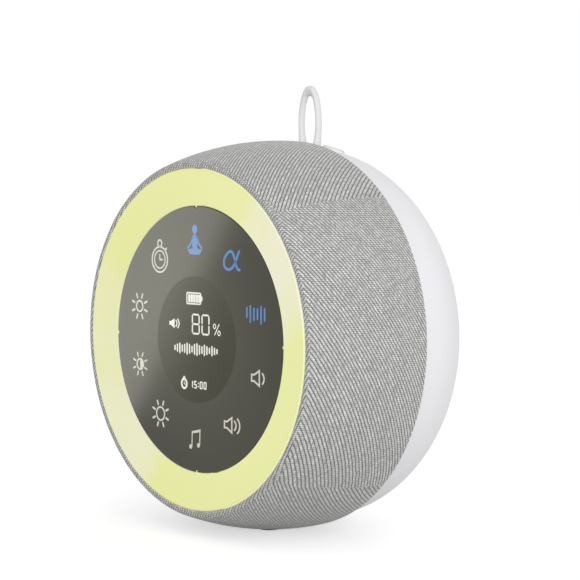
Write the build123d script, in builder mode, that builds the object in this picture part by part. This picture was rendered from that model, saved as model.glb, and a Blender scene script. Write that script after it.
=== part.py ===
"""Round white noise machine: touch panel, glowing ring, cloth side, moulded rear shell.

Frame: millimetres, +Z up, the face looks along -Y. The origin lies on the table under the middle
of the body. Most pieces are round about the drum's axis, so their places are given as a depth
behind the touch panel's face and a radius from the axis.
"""

from build123d import *
from math import asin, cos, degrees, radians, sin, sqrt
import os

# ------------------------------------------------------------ driving dimensions
# Cloth-covered side of the drum
crest_radius = 55.0  # widest radius
crest_depth = 30.3  # where the widest ring lies
side_bulge = 6.2  # crest outside the front rim
rim_proud = 1.65  # how far the front rim stands before the panel's face
cloth_rear_depth = 34.7  # rear edge of the cloth
cloth_thickness = 0.6
cloth_hem = 4.2  # length of cloth turned in behind the front rim
cloth_front_rounding = 1.0
cloth_hem_rounding = 0.5
cloth_rear_rounding = 0.5
base_cut = 1.0  # how much the flat base takes off the crest

# Rubber foot
foot_width = 15.0
foot_length = 14.0
foot_thickness = 1.6
foot_proud = 0.3  # how far the foot stands below the cloth
foot_rounding = 3.0
foot_edge_rounding = 0.2
foot_setback = 8.3  # middle of the foot before the cloth's rear edge
foot_gap = 0.15

# Rear shell
shell_step = 1.9  # shell inside the cloth's crest
shell_straight = 5.3  # straight wall behind the cloth before the dome starts
shell_dome_depth = 24.5
shell_flat_radius = 24.0  # flat middle of the back
shell_wall = 2.2
spigot_length = 3.6  # tongue that enters the grille frame
spigot_clearance = 0.2
cloth_fold_gap = 0.15  # between the cloth's rear fold and the shell

# Touch panel
panel_thickness = 2.0
panel_chamfer = 0.25
notch_count = 4
notch_width = 1.0
notch_depth = 0.7

# Glowing ring, dished towards the panel
rim_width = 1.8  # cloth-covered rim seen round the ring
ring_width = 9.9
ring_proud = 1.87  # outer edge before the panel's face
ring_thickness = 1.8
ring_panel_gap = 0.2
ring_cloth_gap = 0.2
ring_outer_wall = 1.4
ring_inner_wall = 1.2
ring_inner_reach = 3.0
ring_outer_reach = 3.4
ring_edge_rounding = 0.3

# Display stack behind the panel
icon_count = 10
icon_inset = 9.4  # middle of an icon inside the panel's edge
light_well_radius = 3.3
mask_thickness = 3.0
panel_seat = 1.3  # rim of the panel that rests on the frame's collar
display_size = 24.0
window_gap = 0.6  # window round the display's corners
display_thickness = 2.2
display_gap = 0.2
display_rounding = 1.0
cushion_inset = 1.0
board_thickness = 1.2
icon_led_length = 2.0
icon_led_width = 1.6
icon_led_height = 0.7

# Front frame and the ring's lamps
collar_wall = 1.0
touch_shelf_width = 2.2
touch_shelf_height = 1.8
frame_floor_thickness = 2.0
frame_opening_radius = 19.0
frame_gap = 0.3  # between the front frame and the grille frame's bore
ring_lamp_count = 24
ring_lamp_length = 3.5
ring_lamp_width = 2.8
ring_lamp_height = 0.9
small_gap = 0.2  # between boards and the walls round them

# Grille frame under the cloth
grille_wall = 2.0
ledge_thickness = 2.0
grille_rows = 3
grille_columns = 36
grille_hole_length = 4.4
grille_hole_width = 5.0

# Fasteners
small_shank_radius = 0.8
small_head_radius = 1.6
small_head_height = 1.1
large_shank_radius = 0.95
large_head_radius = 2.0
large_head_height = 1.5
thread_gap = 0.05
pass_gap = 0.3
front_screw_count = 4
front_screw_angle = 22.5
front_screw_length = 6.6
front_boss_radius = 1.65
front_boss_height = 3.4
front_boss_inset = 1.2  # boss middle inside the ring's outer wall
shell_screw_count = 4
shell_screw_angle = 45.0
shell_screw_circle = 40.0
shell_screw_length = 12.0
shell_post_radius = 3.0
shell_boss_radius = 3.6
shell_joint_setback = 1.3  # where post and boss meet, behind the cloth's edge
shell_seat_thickness = 4.0

# Speaker housing
ear_count = 4
ear_inset = 4.2  # ear middle outside the ledge's bore
ear_radius = 2.8
ear_width = 5.0
ear_height = 3.5
baffle_thickness = 2.4
baffle_clearance = 1.8  # round the basket's throat
box_margin = 3.1  # housing radius outside the basket's rim
box_wall = 2.0
box_air = 0.2
wire_hole_radius = 1.5
gasket_thickness = 0.5
gasket_width = 3.6

# Speaker driver
basket_radius = 27.4
basket_rim_width = 6.0
basket_metal = 0.8
basket_height = 11.8
basket_seat_radius = 15.0
basket_opening_count = 4
basket_opening_width = 9.0
speaker_screw_count = 4
speaker_screw_inset = 2.0
speaker_screw_length = 3.4
top_plate_radius = 16.0
top_plate_thickness = 2.0
magnet_radius = 18.0
magnet_bore = 9.6
magnet_thickness = 6.0
yoke_thickness = 2.5
pole_radius = 6.9
coil_inner_radius = 7.4
coil_thickness = 0.6
coil_length = 9.0
coil_gap = 0.5
cone_height = 8.3
cone_paper = 0.6
surround_width = 3.2
surround_rise = 1.5
surround_rubber = 0.4
surround_lip = 1.0
spider_cloth = 0.4
spider_ledge = 1.6
spider_step = 1.8  # spider before the basket's seat
dust_cap_rise = 2.2
dust_cap_wall = 0.4

# Battery and main board
cradle_floor = 1.5
cradle_wall = 1.5
cradle_lip = 4.5
battery_length = 50.0
battery_width = 34.0
battery_thickness = 6.0
battery_rounding = 1.4
battery_gap = 0.5
board_boss_gap = 0.9  # main board inside the shell's screw bosses
main_board_thickness = 1.6
standoff_count = 4
standoff_inset = 4.5  # stand-off middle inside the board's edge
standoff_radius = 2.6
standoff_height = 8.7
board_screw_length = 5.0
processor_size = 8.0
processor_height = 1.0
amplifier_size = 5.0
amplifier_height = 1.1
capacitor_radius = 2.5
capacitor_height = 5.0
chip_spread = 14.0

# Charging socket in the back
usb_drop = 16.0  # below the drum's axis
usb_width = 9.0
usb_height = 3.2
usb_metal = 0.3
usb_recess = 1.2  # mouth inside the back's face
usb_cavity = 6.5
usb_gap = 0.3
tongue_width = 6.7
tongue_thickness = 0.7
tongue_length = 5.2

# Ribbon between the touch board and the main board
ribbon_offset = 9.0
ribbon_width = 6.0
ribbon_thickness = 0.3
ribbon_bend = 0.9
ribbon_start_drop = 12.0
ribbon_frame_gap = 1.2
ribbon_box_gap = 2.1
ribbon_board_gap = 2.4
ribbon_end_drop = 26.5
connector_length = 3.0
connector_height = 1.0

# Hanging loop
control_setback = 7.1  # loop and buttons behind the cloth's edge
loop_wire_radius = 0.925
loop_half_width = 3.65
loop_half_height = 9.85
loop_middle_rise = 7.1  # middle of the loop above the shell
loop_foot_width = 9.0
loop_foot_length = 5.0
loop_hole_gap = 0.1

# Top buttons and their board
button_spacing = 20.0
button_radius = 3.25
button_proud = 1.9
button_gap = 0.15
button_flange_radius = 4.1
button_flange_thickness = 0.8
button_rest_gap = 0.2
button_travel = 0.4
button_rounding = 0.7
pad_margin = 0.4  # pad beyond the button flanges
pad_length = 10.4
pad_drop = 2.3  # flat pad below the shell's inner wall
switch_size = 4.5
switch_height = 2.0
plunger_radius = 1.0
plunger_gap = 0.08
plunger_reach = 0.6
plunger_depth = 0.6
control_board_margin = 2.5  # board beyond the middles of its screws
control_board_width = 9.2
control_board_rounding = 2.0
control_boss_radius = 2.1
control_boss_gap = 0.9  # bosses beside the pad
control_screw_length = 3.6

# ------------------------------------------------------------ places that follow
# Rings inside each other, from the crest inwards
rim_radius = crest_radius - side_bulge
hem_radius = rim_radius - rim_width
ring_radius = hem_radius - ring_cloth_gap
ring_bore = ring_radius - ring_width
panel_radius = ring_bore - ring_panel_gap
icon_circle_radius = panel_radius - icon_inset
window_radius = display_size / sqrt(2) + window_gap
shell_radius = crest_radius - shell_step

axis_height = crest_radius - base_cut + foot_proud
dome_start_depth = cloth_rear_depth + shell_straight
body_depth = dome_start_depth + shell_dome_depth
panel_y = (ring_proud - body_depth) / 2
axis_point = (0, panel_y, axis_height)
drum_axis = Axis(axis_point, (0, 1, 0))
face = Plane(origin=axis_point, x_dir=(1, 0, 0), z_dir=(0, -1, 0))
section = Plane(origin=axis_point, x_dir=(0, 1, 0), z_dir=(1, 0, 0))

# The cloth side bulges in one arc from the front rim over the crest to its rear edge
side_run = crest_depth + rim_proud
side_arc_radius = (side_bulge**2 + side_run**2) / (2 * side_bulge)

# Front stack, from the panel rearwards
ring_wall_bore = ring_radius - ring_outer_wall
mask_radius = panel_radius - panel_seat
mask_rear = panel_thickness + mask_thickness
touch_board_rear = mask_rear + board_thickness
frame_floor_depth = touch_board_rear + touch_shelf_height
frame_rear = frame_floor_depth + frame_floor_thickness
screw_seat = frame_rear + ledge_thickness
grille_bore = hem_radius + cloth_thickness
grille_front = cloth_thickness - rim_proud
grille_rear = cloth_rear_depth - cloth_thickness

# Speaker, from its baffle rearwards
baffle_depth = screw_seat + ear_height
baffle_rear = baffle_depth + baffle_thickness
flange_rear = baffle_depth - gasket_thickness
flange_front = flange_rear - basket_metal
basket_bore = basket_radius - basket_rim_width
basket_seat_depth = flange_front + basket_height
basket_seat_rear = basket_seat_depth + basket_metal
top_plate_rear = basket_seat_rear + top_plate_thickness
magnet_rear = top_plate_rear + magnet_thickness
yoke_rear = magnet_rear + yoke_thickness
box_radius = basket_radius + box_margin
box_rear = yoke_rear + box_air + box_wall
coil_radius = coil_inner_radius + coil_thickness
cone_radius = basket_bore - surround_width
cone_neck_depth = flange_front + cone_height
spider_rear = basket_seat_depth - spider_step + spider_cloth
spider_radius = basket_seat_radius + spider_ledge

# Battery behind the speaker, main board on the shell's stand-offs
cradle_floor_rear = box_rear + cradle_floor
main_board_rear = body_depth - shell_wall - standoff_height
main_board_depth = main_board_rear - main_board_thickness
main_board_radius = shell_screw_circle - shell_boss_radius - board_boss_gap
standoff_circle = main_board_radius - standoff_inset

# Screws
small_bore = small_shank_radius + thread_gap
small_pass = small_shank_radius + pass_gap
front_screw_circle = ring_wall_bore - front_boss_inset
ledge_bore = shell_screw_circle - shell_post_radius
shell_joint_depth = cloth_rear_depth + shell_joint_setback
shell_seat_depth = shell_joint_depth + shell_seat_thickness

# Top controls, as heights above the drum's axis
control_y = panel_y + cloth_rear_depth + control_setback
pad_height = shell_radius - shell_wall - pad_drop
pad_width = button_spacing + 2 * (button_flange_radius + pad_margin)
control_screw_spacing = pad_width + 2 * (control_boss_radius + control_boss_gap)
control_board_length = control_screw_spacing + 2 * control_board_margin
button_flange_top = pad_height - button_rest_gap
button_base = button_flange_top - button_flange_thickness
switch_top = button_base - plunger_reach
control_board_top = switch_top - switch_height
button_crown = sqrt(shell_radius**2 - (button_spacing / 2) ** 2) + button_proud
loop_middle = shell_radius + loop_middle_rise
loop_leg_angle = degrees(asin(loop_middle_rise / loop_half_height))
loop_leg_offset = loop_half_width * cos(radians(loop_leg_angle))


def at_depth(depth: float) -> Plane:
    """Plane across the drum, facing the front, at a depth behind the panel's face."""
    return face.offset(-depth)


def at_height(height: float) -> Plane:
    """Level plane at a height above the drum's axis, in line with the top controls."""
    return Plane(origin=(0, control_y, axis_height + height), x_dir=(1, 0, 0), z_dir=(0, 0, 1))


def side_radius(depth: float, inset: float) -> float:
    """Radius of the bulging side at a depth, moved inwards by an inset."""
    along = depth - crest_depth
    return crest_radius - side_arc_radius + sqrt((side_arc_radius - inset) ** 2 - along**2)


def round_points(radius: float, count: int, start: float = 0.0) -> list[tuple[float, float]]:
    """Evenly spread points on a circle about the drum's axis, seen from the front."""
    angles = [radians(start + 360 / count * step) for step in range(count)]
    return [(radius * cos(angle), radius * sin(angle)) for angle in angles]


def washer(inner: float, outer: float, front: float, back: float, mode: Mode = Mode.ADD) -> None:
    """Ring or disc about the drum's axis between two depths."""
    with BuildSketch(at_depth(front)) as outline:
        Circle(outer)
        if inner > 0:
            Circle(inner, mode=Mode.SUBTRACT)
    extrude(outline.sketch, amount=front - back, mode=mode)


def pegs(points: list, radius: float, front: float, back: float, mode: Mode = Mode.ADD) -> None:
    """Round pegs or holes along the drum's axis between two depths."""
    with BuildSketch(at_depth(front)) as outline:
        with Locations(*points):
            Circle(radius)
    extrude(outline.sketch, amount=front - back, mode=mode)


def block(width: float, height: float, front: float, back: float, centre=(0, 0), mode=Mode.ADD) -> None:
    """Block across the drum's axis between two depths."""
    with BuildSketch(at_depth(front)) as outline:
        with Locations(centre):
            Rectangle(width, height)
    extrude(outline.sketch, amount=front - back, mode=mode)


def long_slot(width: float, height: float, front: float, back: float, drop: float, mode=Mode.ADD) -> None:
    """Slot-shaped bar or opening below the drum's axis between two depths."""
    with BuildSketch(at_depth(front)) as outline:
        with Locations((0, -drop)):
            SlotOverall(width, height)
    extrude(outline.sketch, amount=front - back, mode=mode)


def posts(points: list, radius: float, low: float, high: float, mode: Mode = Mode.ADD) -> None:
    """Upright round posts or holes between two heights above the drum's axis."""
    with BuildSketch(at_height(low)) as outline:
        with Locations(*points):
            Circle(radius)
    extrude(outline.sketch, amount=high - low, mode=mode)


def turned(corners: list, mode: Mode = Mode.ADD) -> None:
    """Straight-sided ring turned from its (depth, radius) corners."""
    with BuildSketch(section) as outline:
        with BuildLine():
            Polyline(*corners, close=True)
        make_face()
    revolve(outline.sketch, axis=drum_axis, mode=mode)


def bulged(front: float, back: float, inset: float, mode: Mode = Mode.ADD) -> None:
    """Solid drum under the bulging side between two depths."""
    front_edge = (front, side_radius(front, inset))
    back_edge = (back, side_radius(back, inset))
    middle = (front + back) / 2
    with BuildSketch(section) as outline:
        with BuildLine():
            Polyline(back_edge, (back, 0), (front, 0), front_edge)
            ThreePointArc(front_edge, (middle, side_radius(middle, inset)), back_edge)
        make_face()
    revolve(outline.sketch, axis=drum_axis, mode=mode)


def domed(front: float, inset: float, mode: Mode = Mode.ADD) -> None:
    """Solid form of the rear shell from a depth to the back, moved inwards by an inset."""
    rear = body_depth - inset
    radius = shell_radius - inset
    with BuildSketch(section) as outline:
        with BuildLine():
            crown = (dome_start_depth, radius)
            Polyline((rear, shell_flat_radius), (rear, 0), (front, 0), (front, radius), crown)
            middle = (dome_start_depth, shell_flat_radius)
            EllipticalCenterArc(middle, rear - dome_start_depth, radius - shell_flat_radius, 0, arc_size=90)
        make_face()
    revolve(outline.sketch, axis=drum_axis, mode=mode)


def cut_base(drop: float) -> None:
    """Cut the base flat at a distance below the drum's axis."""
    split(bisect_by=Plane.XY.offset(axis_height - drop), keep=Keep.TOP)


def foot_outline(gap: float, mode: Mode = Mode.ADD) -> None:
    """Foot, or the hole it sits in, standing on the table."""
    with BuildSketch(foot_plane) as outline:
        RectangleRounded(foot_width + 2 * gap, foot_length + 2 * gap, foot_rounding)
    extrude(outline.sketch, amount=foot_thickness, mode=mode)


def screws_from_back(points: list, seat: float, length: float) -> None:
    """Small screws with their heads behind a seat and their points towards the front."""
    pegs(points, small_head_radius, seat, seat + small_head_height)
    pegs(points, small_shank_radius, seat - length, seat)


def screws_from_front(points: list, seat: float, length: float) -> None:
    """Small screws with their heads before a seat and their points towards the back."""
    pegs(points, small_head_radius, seat - small_head_height, seat)
    pegs(points, small_shank_radius, seat, seat + length)


def save(piece: BuildPart, name: str) -> None:
    """Label a finished piece and write its STEP file."""
    piece.part.label = name
    export_step(piece.part, f"parts/{name}.step")


os.makedirs("parts", exist_ok=True)
foot_y = panel_y + cloth_rear_depth - foot_setback
foot_plane = Plane(origin=(0, foot_y, 0), x_dir=(1, 0, 0), z_dir=(0, 0, 1))
icon_points = round_points(icon_circle_radius, icon_count, 90)
front_screw_points = round_points(front_screw_circle, front_screw_count, front_screw_angle)
shell_screw_points = round_points(shell_screw_circle, shell_screw_count, shell_screw_angle)
ear_points = round_points(ledge_bore + ear_inset, ear_count)
speaker_screw_points = round_points(basket_radius - speaker_screw_inset, speaker_screw_count, 45)
standoff_points = round_points(standoff_circle, standoff_count)

# ------------------------------------------------------------ touch panel
with BuildPart() as touch_panel:
    washer(0, panel_radius, 0, panel_thickness)
    chamfer(touch_panel.edges().filter_by(GeomType.CIRCLE).sort_by(Axis.Y)[0], panel_chamfer)
    with BuildSketch(face):
        with PolarLocations(panel_radius, notch_count):
            Rectangle(2 * notch_depth, notch_width)
    extrude(amount=-panel_thickness, mode=Mode.SUBTRACT)
save(touch_panel, "touch_panel")

# ------------------------------------------------------------ glowing ring
ring_slope = ring_proud / (ring_radius - ring_bore)
ring_inner_edge = ring_bore + ring_inner_wall
tab_length = notch_depth + ring_inner_wall / 2
with BuildPart() as light_ring:
    turned(
        [
            (0, ring_bore),
            (-ring_proud, ring_radius),
            (ring_outer_reach, ring_radius),
            (ring_outer_reach, ring_wall_bore),
            (ring_thickness - ring_slope * (ring_wall_bore - ring_bore), ring_wall_bore),
            (ring_thickness - ring_slope * (ring_inner_edge - ring_bore), ring_inner_edge),
            (ring_inner_reach, ring_inner_edge),
            (ring_inner_reach, ring_bore),
        ]
    )
    fillet(light_ring.edges().filter_by(GeomType.CIRCLE).sort_by(Axis.Y)[0], ring_edge_rounding)
    # Tabs that locate the panel in the ring
    with BuildSketch(at_depth(panel_chamfer)):
        with PolarLocations(ring_bore + ring_inner_wall / 2 - tab_length / 2, notch_count):
            Rectangle(tab_length, notch_width - ring_panel_gap)
    extrude(amount=panel_chamfer - panel_thickness)
save(light_ring, "light_ring")

# ------------------------------------------------------------ display stack
with BuildPart() as icon_light_mask:
    washer(window_radius, mask_radius, panel_thickness, mask_rear)
    pegs(icon_points, light_well_radius, panel_thickness, mask_rear, Mode.SUBTRACT)
save(icon_light_mask, "icon_light_mask")

display_front = panel_thickness + display_gap
display_rear = display_front + display_thickness
with BuildPart() as display_module:
    block(display_size, display_size, display_front, display_rear)
    fillet(display_module.edges().filter_by(Axis.Y), display_rounding)
save(display_module, "display_module")

with BuildPart() as display_cushion:
    cushion_size = display_size - 2 * cushion_inset
    block(cushion_size, cushion_size, display_rear, mask_rear)
save(display_cushion, "display_cushion")

with BuildPart() as touch_board:
    washer(0, mask_radius, mask_rear, touch_board_rear)
save(touch_board, "touch_board")

with BuildPart() as icon_leds:
    for icon_point in icon_points:
        block(icon_led_length, icon_led_width, mask_rear - icon_led_height, mask_rear, icon_point)
save(icon_leds, "icon_leds")

# ------------------------------------------------------------ front frame
collar_bore = mask_radius + small_gap
collar_radius = collar_bore + collar_wall
with BuildPart() as front_frame:
    washer(frame_opening_radius, grille_bore - frame_gap, frame_floor_depth, frame_rear)
    washer(collar_bore, collar_radius, panel_thickness, frame_floor_depth)
    washer(collar_bore - touch_shelf_width, collar_radius, touch_board_rear, frame_floor_depth)
    washer(ring_wall_bore, ring_radius, ring_outer_reach, frame_floor_depth)
    pegs(front_screw_points, front_boss_radius, frame_floor_depth - front_boss_height, frame_floor_depth)
    pegs(front_screw_points, small_bore, screw_seat - front_screw_length, frame_rear, Mode.SUBTRACT)
save(front_frame, "front_frame")

ring_board_front = frame_floor_depth - board_thickness
ring_board_bore = collar_radius + small_gap
ring_board_radius = front_screw_circle - front_boss_radius - small_gap
with BuildPart() as ring_board:
    washer(ring_board_bore, ring_board_radius, ring_board_front, frame_floor_depth)
save(ring_board, "ring_board")

with BuildPart() as ring_leds:
    with BuildSketch(at_depth(ring_board_front)):
        with PolarLocations((ring_board_bore + ring_board_radius) / 2, ring_lamp_count):
            Rectangle(ring_lamp_width, ring_lamp_length)
    extrude(amount=ring_lamp_height)
save(ring_leds, "ring_leds")

with BuildPart() as front_screws:
    screws_from_back(front_screw_points, screw_seat, front_screw_length)
save(front_screws, "front_screws")

# ------------------------------------------------------------ grille frame
cloth_drop = crest_radius - base_cut
grille_drop = cloth_drop - cloth_thickness
row_pitch = (grille_rear - spigot_length - screw_seat) / grille_rows
row_depths = [screw_seat + row_pitch * (row + 0.5) for row in range(grille_rows)]
column_step = 360 / grille_columns
foot_angle = degrees(asin((foot_width + grille_hole_width) / crest_radius))
column_angles = [
    column_step * (column + 0.5) - 90
    for column in range(grille_columns)
    if foot_angle < column_step * (column + 0.5) < 360 - foot_angle
]

grille_hole_start = side_radius(screw_seat, cloth_thickness + 2 * grille_wall)
grille_spokes = [
    Plane(
        origin=(0, panel_y + row_depth, axis_height),
        x_dir=(0, 1, 0),
        z_dir=(cos(radians(angle)), 0, sin(radians(angle))),
    ).offset(grille_hole_start)
    for row_depth in row_depths
    for angle in column_angles
]

with BuildPart() as grille_hollow:
    bulged(screw_seat, grille_rear, cloth_thickness + grille_wall)
    cut_base(grille_drop - grille_wall)
    pegs(shell_screw_points, shell_post_radius, screw_seat, shell_joint_depth, Mode.SUBTRACT)

with BuildPart() as grille_frame:
    bulged(grille_front, grille_rear, cloth_thickness)
    cut_base(grille_drop)
    washer(0, grille_bore, grille_front, frame_rear, Mode.SUBTRACT)
    washer(0, ledge_bore, frame_rear, screw_seat, Mode.SUBTRACT)
    add(grille_hollow.part, mode=Mode.SUBTRACT)
    pegs(shell_screw_points, shell_post_radius, grille_rear, shell_joint_depth)
    pilot_front = shell_seat_depth - shell_screw_length
    pegs(shell_screw_points, large_shank_radius + thread_gap, pilot_front, shell_joint_depth, Mode.SUBTRACT)
    pegs(front_screw_points, small_pass, frame_rear, screw_seat, Mode.SUBTRACT)
    pegs(ear_points, small_bore, frame_rear, screw_seat, Mode.SUBTRACT)
    with Locations(*grille_spokes):
        Box(
            grille_hole_length,
            grille_hole_width,
            crest_radius - grille_hole_start,
            align=(Align.CENTER, Align.CENTER, Align.MIN),
            mode=Mode.SUBTRACT,
        )
    foot_outline(foot_gap, Mode.SUBTRACT)
save(grille_frame, "grille_frame")

# ------------------------------------------------------------ cloth side
hem_rear = cloth_hem - rim_proud
fold_radius = shell_radius + cloth_fold_gap
with BuildPart() as cloth_lining:
    bulged(grille_front, grille_rear, cloth_thickness)
    cut_base(grille_drop)
    washer(0, grille_bore, grille_front, hem_rear, Mode.SUBTRACT)

with BuildPart() as fabric_sleeve:
    bulged(-rim_proud, cloth_rear_depth, 0)
    rims = fabric_sleeve.edges().filter_by(GeomType.CIRCLE).sort_by(Axis.Y)
    fillet(rims[0], cloth_front_rounding)
    fillet(fabric_sleeve.edges().filter_by(GeomType.CIRCLE).sort_by(Axis.Y)[-1], cloth_rear_rounding)
    washer(0, hem_radius, -rim_proud, hem_rear, Mode.SUBTRACT)
    washer(0, fold_radius, grille_rear, cloth_rear_depth, Mode.SUBTRACT)
    cut_base(cloth_drop)
    add(cloth_lining.part, mode=Mode.SUBTRACT)
    hem_edges = fabric_sleeve.edges().filter_by(GeomType.CIRCLE).sort_by(Axis.Y)
    front_hem = hem_edges.filter_by(lambda edge: abs(edge.radius - hem_radius) < thread_gap)[0]
    fillet(front_hem, cloth_hem_rounding)
    foot_outline(foot_gap, Mode.SUBTRACT)
save(fabric_sleeve, "fabric_sleeve")

# ------------------------------------------------------------ foot
with BuildPart() as base_foot:
    foot_outline(0)
    fillet(base_foot.faces().sort_by(Axis.Z)[0].edges(), foot_edge_rounding)
save(base_foot, "base_foot")

# ------------------------------------------------------------ speaker housing
ear_circle = ledge_bore + ear_inset
arm_start = box_radius - box_wall
with BuildPart() as speaker_baffle:
    washer(basket_bore + baffle_clearance, box_radius, baffle_depth, baffle_rear)
    with BuildSketch(at_depth(baffle_depth)):
        with PolarLocations((arm_start + ear_circle) / 2, ear_count):
            Rectangle(ear_circle - arm_start, ear_width)
    extrude(amount=-baffle_thickness)
    pegs(ear_points, ear_radius, screw_seat, baffle_rear)
    pegs(ear_points, small_pass, screw_seat, baffle_rear, Mode.SUBTRACT)
    pegs(speaker_screw_points, small_bore, baffle_depth, baffle_rear, Mode.SUBTRACT)
save(speaker_baffle, "speaker_baffle")

with BuildPart() as speaker_box:
    washer(0, box_radius, baffle_rear, box_rear)
    washer(0, box_radius - box_wall, baffle_rear, box_rear - box_wall, Mode.SUBTRACT)
    wire_hole = [(0, box_radius - 2 * box_wall - wire_hole_radius)]
    pegs(wire_hole, wire_hole_radius, box_rear - box_wall, box_rear, Mode.SUBTRACT)
save(speaker_box, "speaker_box")

with BuildPart() as baffle_screws:
    screws_from_back(ear_points, baffle_rear, baffle_rear - frame_rear - small_gap)
save(baffle_screws, "baffle_screws")

# ------------------------------------------------------------ speaker driver
with BuildPart() as speaker_gasket:
    washer(basket_radius - gasket_width, basket_radius, flange_rear, baffle_depth)
    pegs(speaker_screw_points, small_pass, flange_rear, baffle_depth, Mode.SUBTRACT)
save(speaker_gasket, "speaker_gasket")

seat_bore = coil_radius + coil_gap
ledge_rear = spider_rear + basket_metal
with BuildPart() as speaker_basket:
    turned(
        [
            (flange_front, basket_bore),
            (flange_front, basket_radius),
            (flange_rear, basket_radius),
            (flange_rear, basket_bore + basket_metal),
            (ledge_rear, spider_radius + basket_metal),
            (ledge_rear, basket_seat_radius + basket_metal),
            (basket_seat_rear, basket_seat_radius + basket_metal),
            (basket_seat_rear, seat_bore),
            (basket_seat_depth, seat_bore),
            (basket_seat_depth, basket_seat_radius),
            (spider_rear, basket_seat_radius),
            (spider_rear, spider_radius),
        ]
    )
    window_front = flange_rear + 2 * basket_metal
    window_rear = spider_rear - 2 * basket_metal
    with BuildSketch(at_depth(window_front)):
        with PolarLocations(basket_bore, basket_opening_count):
            Rectangle(2 * basket_rim_width, basket_opening_width)
    extrude(amount=window_front - window_rear, mode=Mode.SUBTRACT)
    pegs(speaker_screw_points, small_pass, flange_front, flange_rear, Mode.SUBTRACT)
save(speaker_basket, "speaker_basket")

with BuildPart() as speaker_top_plate:
    washer(seat_bore, top_plate_radius, basket_seat_rear, top_plate_rear)
save(speaker_top_plate, "speaker_top_plate")

with BuildPart() as speaker_magnet:
    washer(magnet_bore, magnet_radius, top_plate_rear, magnet_rear)
save(speaker_magnet, "speaker_magnet")

with BuildPart() as speaker_yoke:
    washer(0, top_plate_radius, magnet_rear, yoke_rear)
    washer(0, pole_radius, basket_seat_rear, magnet_rear)
save(speaker_yoke, "speaker_yoke")

with BuildPart() as voice_coil:
    washer(coil_inner_radius, coil_radius, cone_neck_depth, cone_neck_depth + coil_length)
save(voice_coil, "voice_coil")

with BuildPart() as speaker_cone:
    turned(
        [
            (flange_front, cone_radius),
            (flange_front + cone_paper, cone_radius),
            (cone_neck_depth + cone_paper, coil_radius + cone_paper),
            (cone_neck_depth + cone_paper, coil_radius),
            (cone_neck_depth, coil_radius),
        ]
    )
save(speaker_cone, "speaker_cone")

# Shallow dome that closes the voice coil's end
cap_inner = coil_radius - dust_cap_wall
cap_crown = cone_neck_depth - dust_cap_rise
with BuildPart() as speaker_dust_cap:
    with BuildSketch(section) as cap_outline:
        with BuildLine():
            TangentArc((cap_crown, 0), (cone_neck_depth, coil_radius), tangent=(0, 1))
            Line((cone_neck_depth, coil_radius), (cone_neck_depth, cap_inner))
            TangentArc((cap_crown + dust_cap_wall, 0), (cone_neck_depth, cap_inner), tangent=(0, 1))
            Line((cap_crown + dust_cap_wall, 0), (cap_crown, 0))
        make_face()
    revolve(cap_outline.sketch, axis=drum_axis)
save(speaker_dust_cap, "speaker_dust_cap")

# Half roll of rubber from the cone's edge to the basket's rim
roll_outer = basket_bore + surround_lip
roll_middle = (cone_radius + roll_outer) / 2
roll_crown = flange_front - surround_rubber - surround_rise
lip_front = flange_front - surround_rubber
lip_outer = roll_outer + surround_lip
with BuildPart() as speaker_surround:
    with BuildSketch(section) as roll_outline:
        with BuildLine():
            ThreePointArc((flange_front, cone_radius), (roll_crown, roll_middle), (lip_front, roll_outer))
            Polyline(
                (lip_front, roll_outer),
                (lip_front, lip_outer),
                (flange_front, lip_outer),
                (flange_front, roll_outer - surround_rubber),
            )
            ThreePointArc(
                (flange_front, roll_outer - surround_rubber),
                (roll_crown + surround_rubber, roll_middle),
                (flange_front + surround_rubber, cone_radius),
            )
            Line((flange_front + surround_rubber, cone_radius), (flange_front, cone_radius))
        make_face()
    revolve(roll_outline.sketch, axis=drum_axis)
save(speaker_surround, "speaker_surround")

with BuildPart() as speaker_spider:
    washer(coil_radius + thread_gap, spider_radius, spider_rear - spider_cloth, spider_rear)
save(speaker_spider, "speaker_spider")

with BuildPart() as speaker_screws:
    screws_from_front(speaker_screw_points, flange_front, speaker_screw_length)
save(speaker_screws, "speaker_screws")

# ------------------------------------------------------------ battery
cradle_length = battery_length + 2 * battery_gap
cradle_width = battery_width + 2 * battery_gap
cradle_rear = cradle_floor_rear + cradle_lip
with BuildPart() as battery_cradle:
    block(cradle_length + 2 * cradle_wall, cradle_width + 2 * cradle_wall, box_rear, cradle_rear)
    block(cradle_length, cradle_width, cradle_floor_rear, cradle_rear, mode=Mode.SUBTRACT)
save(battery_cradle, "battery_cradle")

with BuildPart() as battery_pack:
    block(battery_length, battery_width, cradle_floor_rear, cradle_floor_rear + battery_thickness)
    fillet(battery_pack.edges(), battery_rounding)
save(battery_pack, "battery_pack")

# ------------------------------------------------------------ main board
with BuildPart() as main_board:
    washer(0, main_board_radius, main_board_depth, main_board_rear)
    pegs(standoff_points, small_pass, main_board_depth, main_board_rear, Mode.SUBTRACT)
save(main_board, "main_board")

with BuildPart() as board_components:
    block(processor_size, processor_size, main_board_rear, main_board_rear + processor_height)
    amplifier_rear = main_board_rear + amplifier_height
    block(amplifier_size, amplifier_size, main_board_rear, amplifier_rear, (chip_spread, 0))
    capacitor_points = [(chip_spread, chip_spread), (-chip_spread, chip_spread)]
    pegs(capacitor_points, capacitor_radius, main_board_rear, main_board_rear + capacitor_height)
save(board_components, "board_components")

with BuildPart() as board_screws:
    screws_from_front(standoff_points, main_board_depth, board_screw_length)
save(board_screws, "board_screws")

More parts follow.
